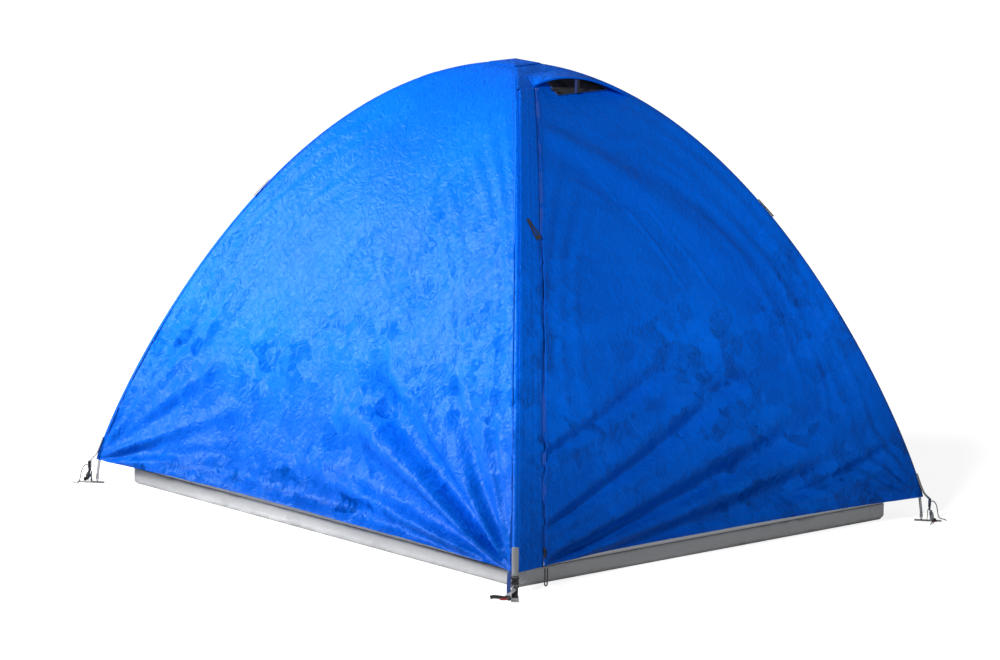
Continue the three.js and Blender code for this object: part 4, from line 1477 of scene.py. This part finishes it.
def loose_tails(name, angle):
    """Ends of webbing at a corner: a blue adjuster tail, the grey web that slants to the ground,
    its folded black end, and a red tip."""
    tangent, up = sideways(angle), np.array((0, 0, 1.0))
    slant = unit(tangent + 0.8 * up)
    lean = unit(outward(angle) * 0.45 + up)
    tails = (
        ("blue_tail", BLUE_WEB, tangent, (0.0130, 0.0012), 0.004, [
            (-0.008, -0.0165, 0.084), (0.001, -0.0180, 0.066), (0.003, -0.0185, 0.048),
            (0.003, -0.0185, 0.026), (0.004, -0.0180, 0.010),
        ]),
        ("grey_tail", GREY_WEB, slant, (0.0160, 0.0013), 0.004, [
            (0.0046, -0.002, 0.036), (0.0060, -0.005, 0.030), (0.0090, -0.016, 0.019),
            (0.0110, -0.026, 0.009),
        ]),
        ("black_tail", BLACK_WEB, lean, (0.0140, 0.0020), 0.004, [
            (0.012, -0.016, 0.010), (0.013, -0.030, 0.0075), (0.013, -0.046, 0.0095),
            (0.012, -0.062, 0.0105), (0.011, -0.074, 0.0080),
        ]),
        ("red_tip", RED_WEB, lean, (0.0070, 0.0026), 0.002, [
            (0.0145, -0.022, 0.0048), (0.0160, -0.034, 0.0040), (0.0150, -0.045, 0.0042),
        ]),
    )
    for kind, material, side, size, spacing, route in tails:
        route = [(BUCKLE_R + out, across, high) for out, across, high in route]
        web(f"{kind}_{name}", angle, route, side, size, material, spacing=spacing)


def ball_lock(name, angle):
    """Small barrel lock at the end of the corner's tie."""
    at = corner_path(angle, [(BUCKLE_R + 0.018, -0.017, 0.0068)])[0]
    profile = [
        (0.0, -0.0062), (0.0032, -0.0058), (0.0050, -0.0040), (0.0056, 0.0), (0.0050, 0.0040),
        (0.0032, 0.0058), (0.0, 0.0062),
    ]
    made = lathe(f"cord_lock_{name}", profile, PLASTIC, Matrix.Translation(Vector(at)))
    finish_piece(made, "root", "black_plastic")


TIE_ROUTE = [
    (1.360, 0.0155, 0.060), (1.365, 0.017, 0.061), (1.371, 0.020, 0.057), (1.376, 0.023, 0.048),
    (1.379, 0.026, 0.036), (1.381, 0.029, 0.024), (1.383, 0.031, 0.013), (1.386, 0.032, 0.0055),
    (1.391, 0.031, 0.0022), (1.398, 0.027, 0.0018), (1.404, 0.021, 0.0018), (1.408, 0.014, 0.0018),
    (1.410, 0.006, 0.0018),
]


def cord(name, route, node, radius=0.0015):
    """A round cord along a smooth route."""
    points, along = resample(route, 0.002)
    data = bpy.data.curves.new(name, "CURVE")
    data.dimensions = "3D"
    data.bevel_depth = radius
    data.bevel_resolution = 5
    data.use_fill_caps = True
    spline = data.splines.new("POLY")
    spline.points.add(len(points) - 1)
    for point, at in zip(spline.points, points):
        point.co = (*at, 1)
    data.materials.append(CORD)
    made = new_object(name, data)
    finish_piece(made, "root", "black_cord", node)


LOOP_R = 0.0022


def cords():
    for name in ("right", "back", "left"):
        route = corner_path(CORNERS[name], TIE_ROUTE)
        cord(f"tie_{name}", route, f"tie_cord_{name}")
    low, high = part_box("hem_loop")
    left, right = low.x + LOOP_R, high.x - LOOP_R
    half = (right - left) / 2
    y = (low.y + high.y) / 2
    bend = low.z + LOOP_R + half
    route = [(left, y, mix(high.z, bend, k / 3)) for k in range(4)]
    for k in range(1, 6):
        angle = math.pi + k * math.pi / 6
        route.append((left + half + half * math.cos(angle), y, bend + half * math.sin(angle)))
    route += [(right, y, mix(bend, high.z, k / 3)) for k in range(4)]
    cord("hem_cord", np.array(route), "hem_loop", LOOP_R)


TAB_U = 0.585                 # where the guy tabs are sewn on


def guy_tab(name, place):
    """A pointed tab with a long slot in it."""
    outer = [(-0.0050, 0.0), (-0.0118, -0.072), (0.0118, -0.072), (0.0050, 0.0)]
    slot = [(-0.0020, -0.020), (-0.0046, -0.059), (0.0046, -0.059), (0.0020, -0.020)]
    made = plate(f"guy_loop_{name}", [outer, slot], 0.0018, BLACK_WEB, place, 0.0006)
    finish_piece(made, "root", "black_webbing", f"guy_tab_{name}")


def guy_tabs():
    u = TAB_U - 0.02
    x = -HALF_X * u + 0.036
    spots = front_point([u, u + 0.05], [x, x], 0.008)
    tilt = Matrix.Rotation(0.2, 4, "Z")
    guy_tab("front", axes(spots[0], ACROSS, spots[0] - spots[1]) @ tilt)
    lean = math.atan2(DIAGONAL, -slope_at(TAB_U))
    sunk = 0.0015
    radius = DIAGONAL * TAB_U - sunk * math.cos(lean)
    height = height_at(TAB_U) - sunk * math.sin(lean)
    for name in ("right", "back", "left"):
        angle = CORNERS[name]
        at = turned(np.array([radius, 0, height]), angle)
        up = turned(np.array([-math.sin(lean), 0, math.cos(lean)]), angle)
        guy_tab(name, axes(at, sideways(angle), up))


# ---- seams ----
def seams():
    """Rows of stitches: along every hem, beside every rib and beside the zip."""
    rows, door_rows = [], []
    for name, (_, run, half) in PANELS.items():
        front = name == "front"
        for u0 in (0.9925, 0.9988):
            x = np.linspace(-0.97, 0.97, 700) * half * u0
            if front:
                x = np.linspace(float(zip_x(u0)) + 0.02, 0.97 * half * u0, 600)
            chosen = door_rows if front else rows
            chosen.append(stitched("hem_stitches", name, np.full_like(x, u0), x))
        u = level(0.08, 0.995, 700)
        for sign in (1,) if front else (-1, 1):
            x = sign * (rib_x(run, half, u) - 0.016)
            rows.append(stitched("rib_stitches", name, u, x))
    u = level(ZIP_START + 0.01, 0.995, 600)
    for off in (0.004, 0.012):
        door_rows.append(stitched("zip_stitches", "front", u, zip_x(u) + off))
    finish_piece(join("fly_stitches", rows), "root", "fly_fabric")
    made = join("door_stitches", door_rows)
    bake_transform(made)


storm_flap()
fly_zip()
slider_and_puller()
vent()
crown()
poles()
inner_tent()
tray()
for corner, angle in CORNERS.items():
    side_release_buckle(corner, angle)
    corner_webbing(corner, angle)
    loose_tails(corner, angle)
    ball_lock(corner, angle)
cords()
guy_tabs()
seams()
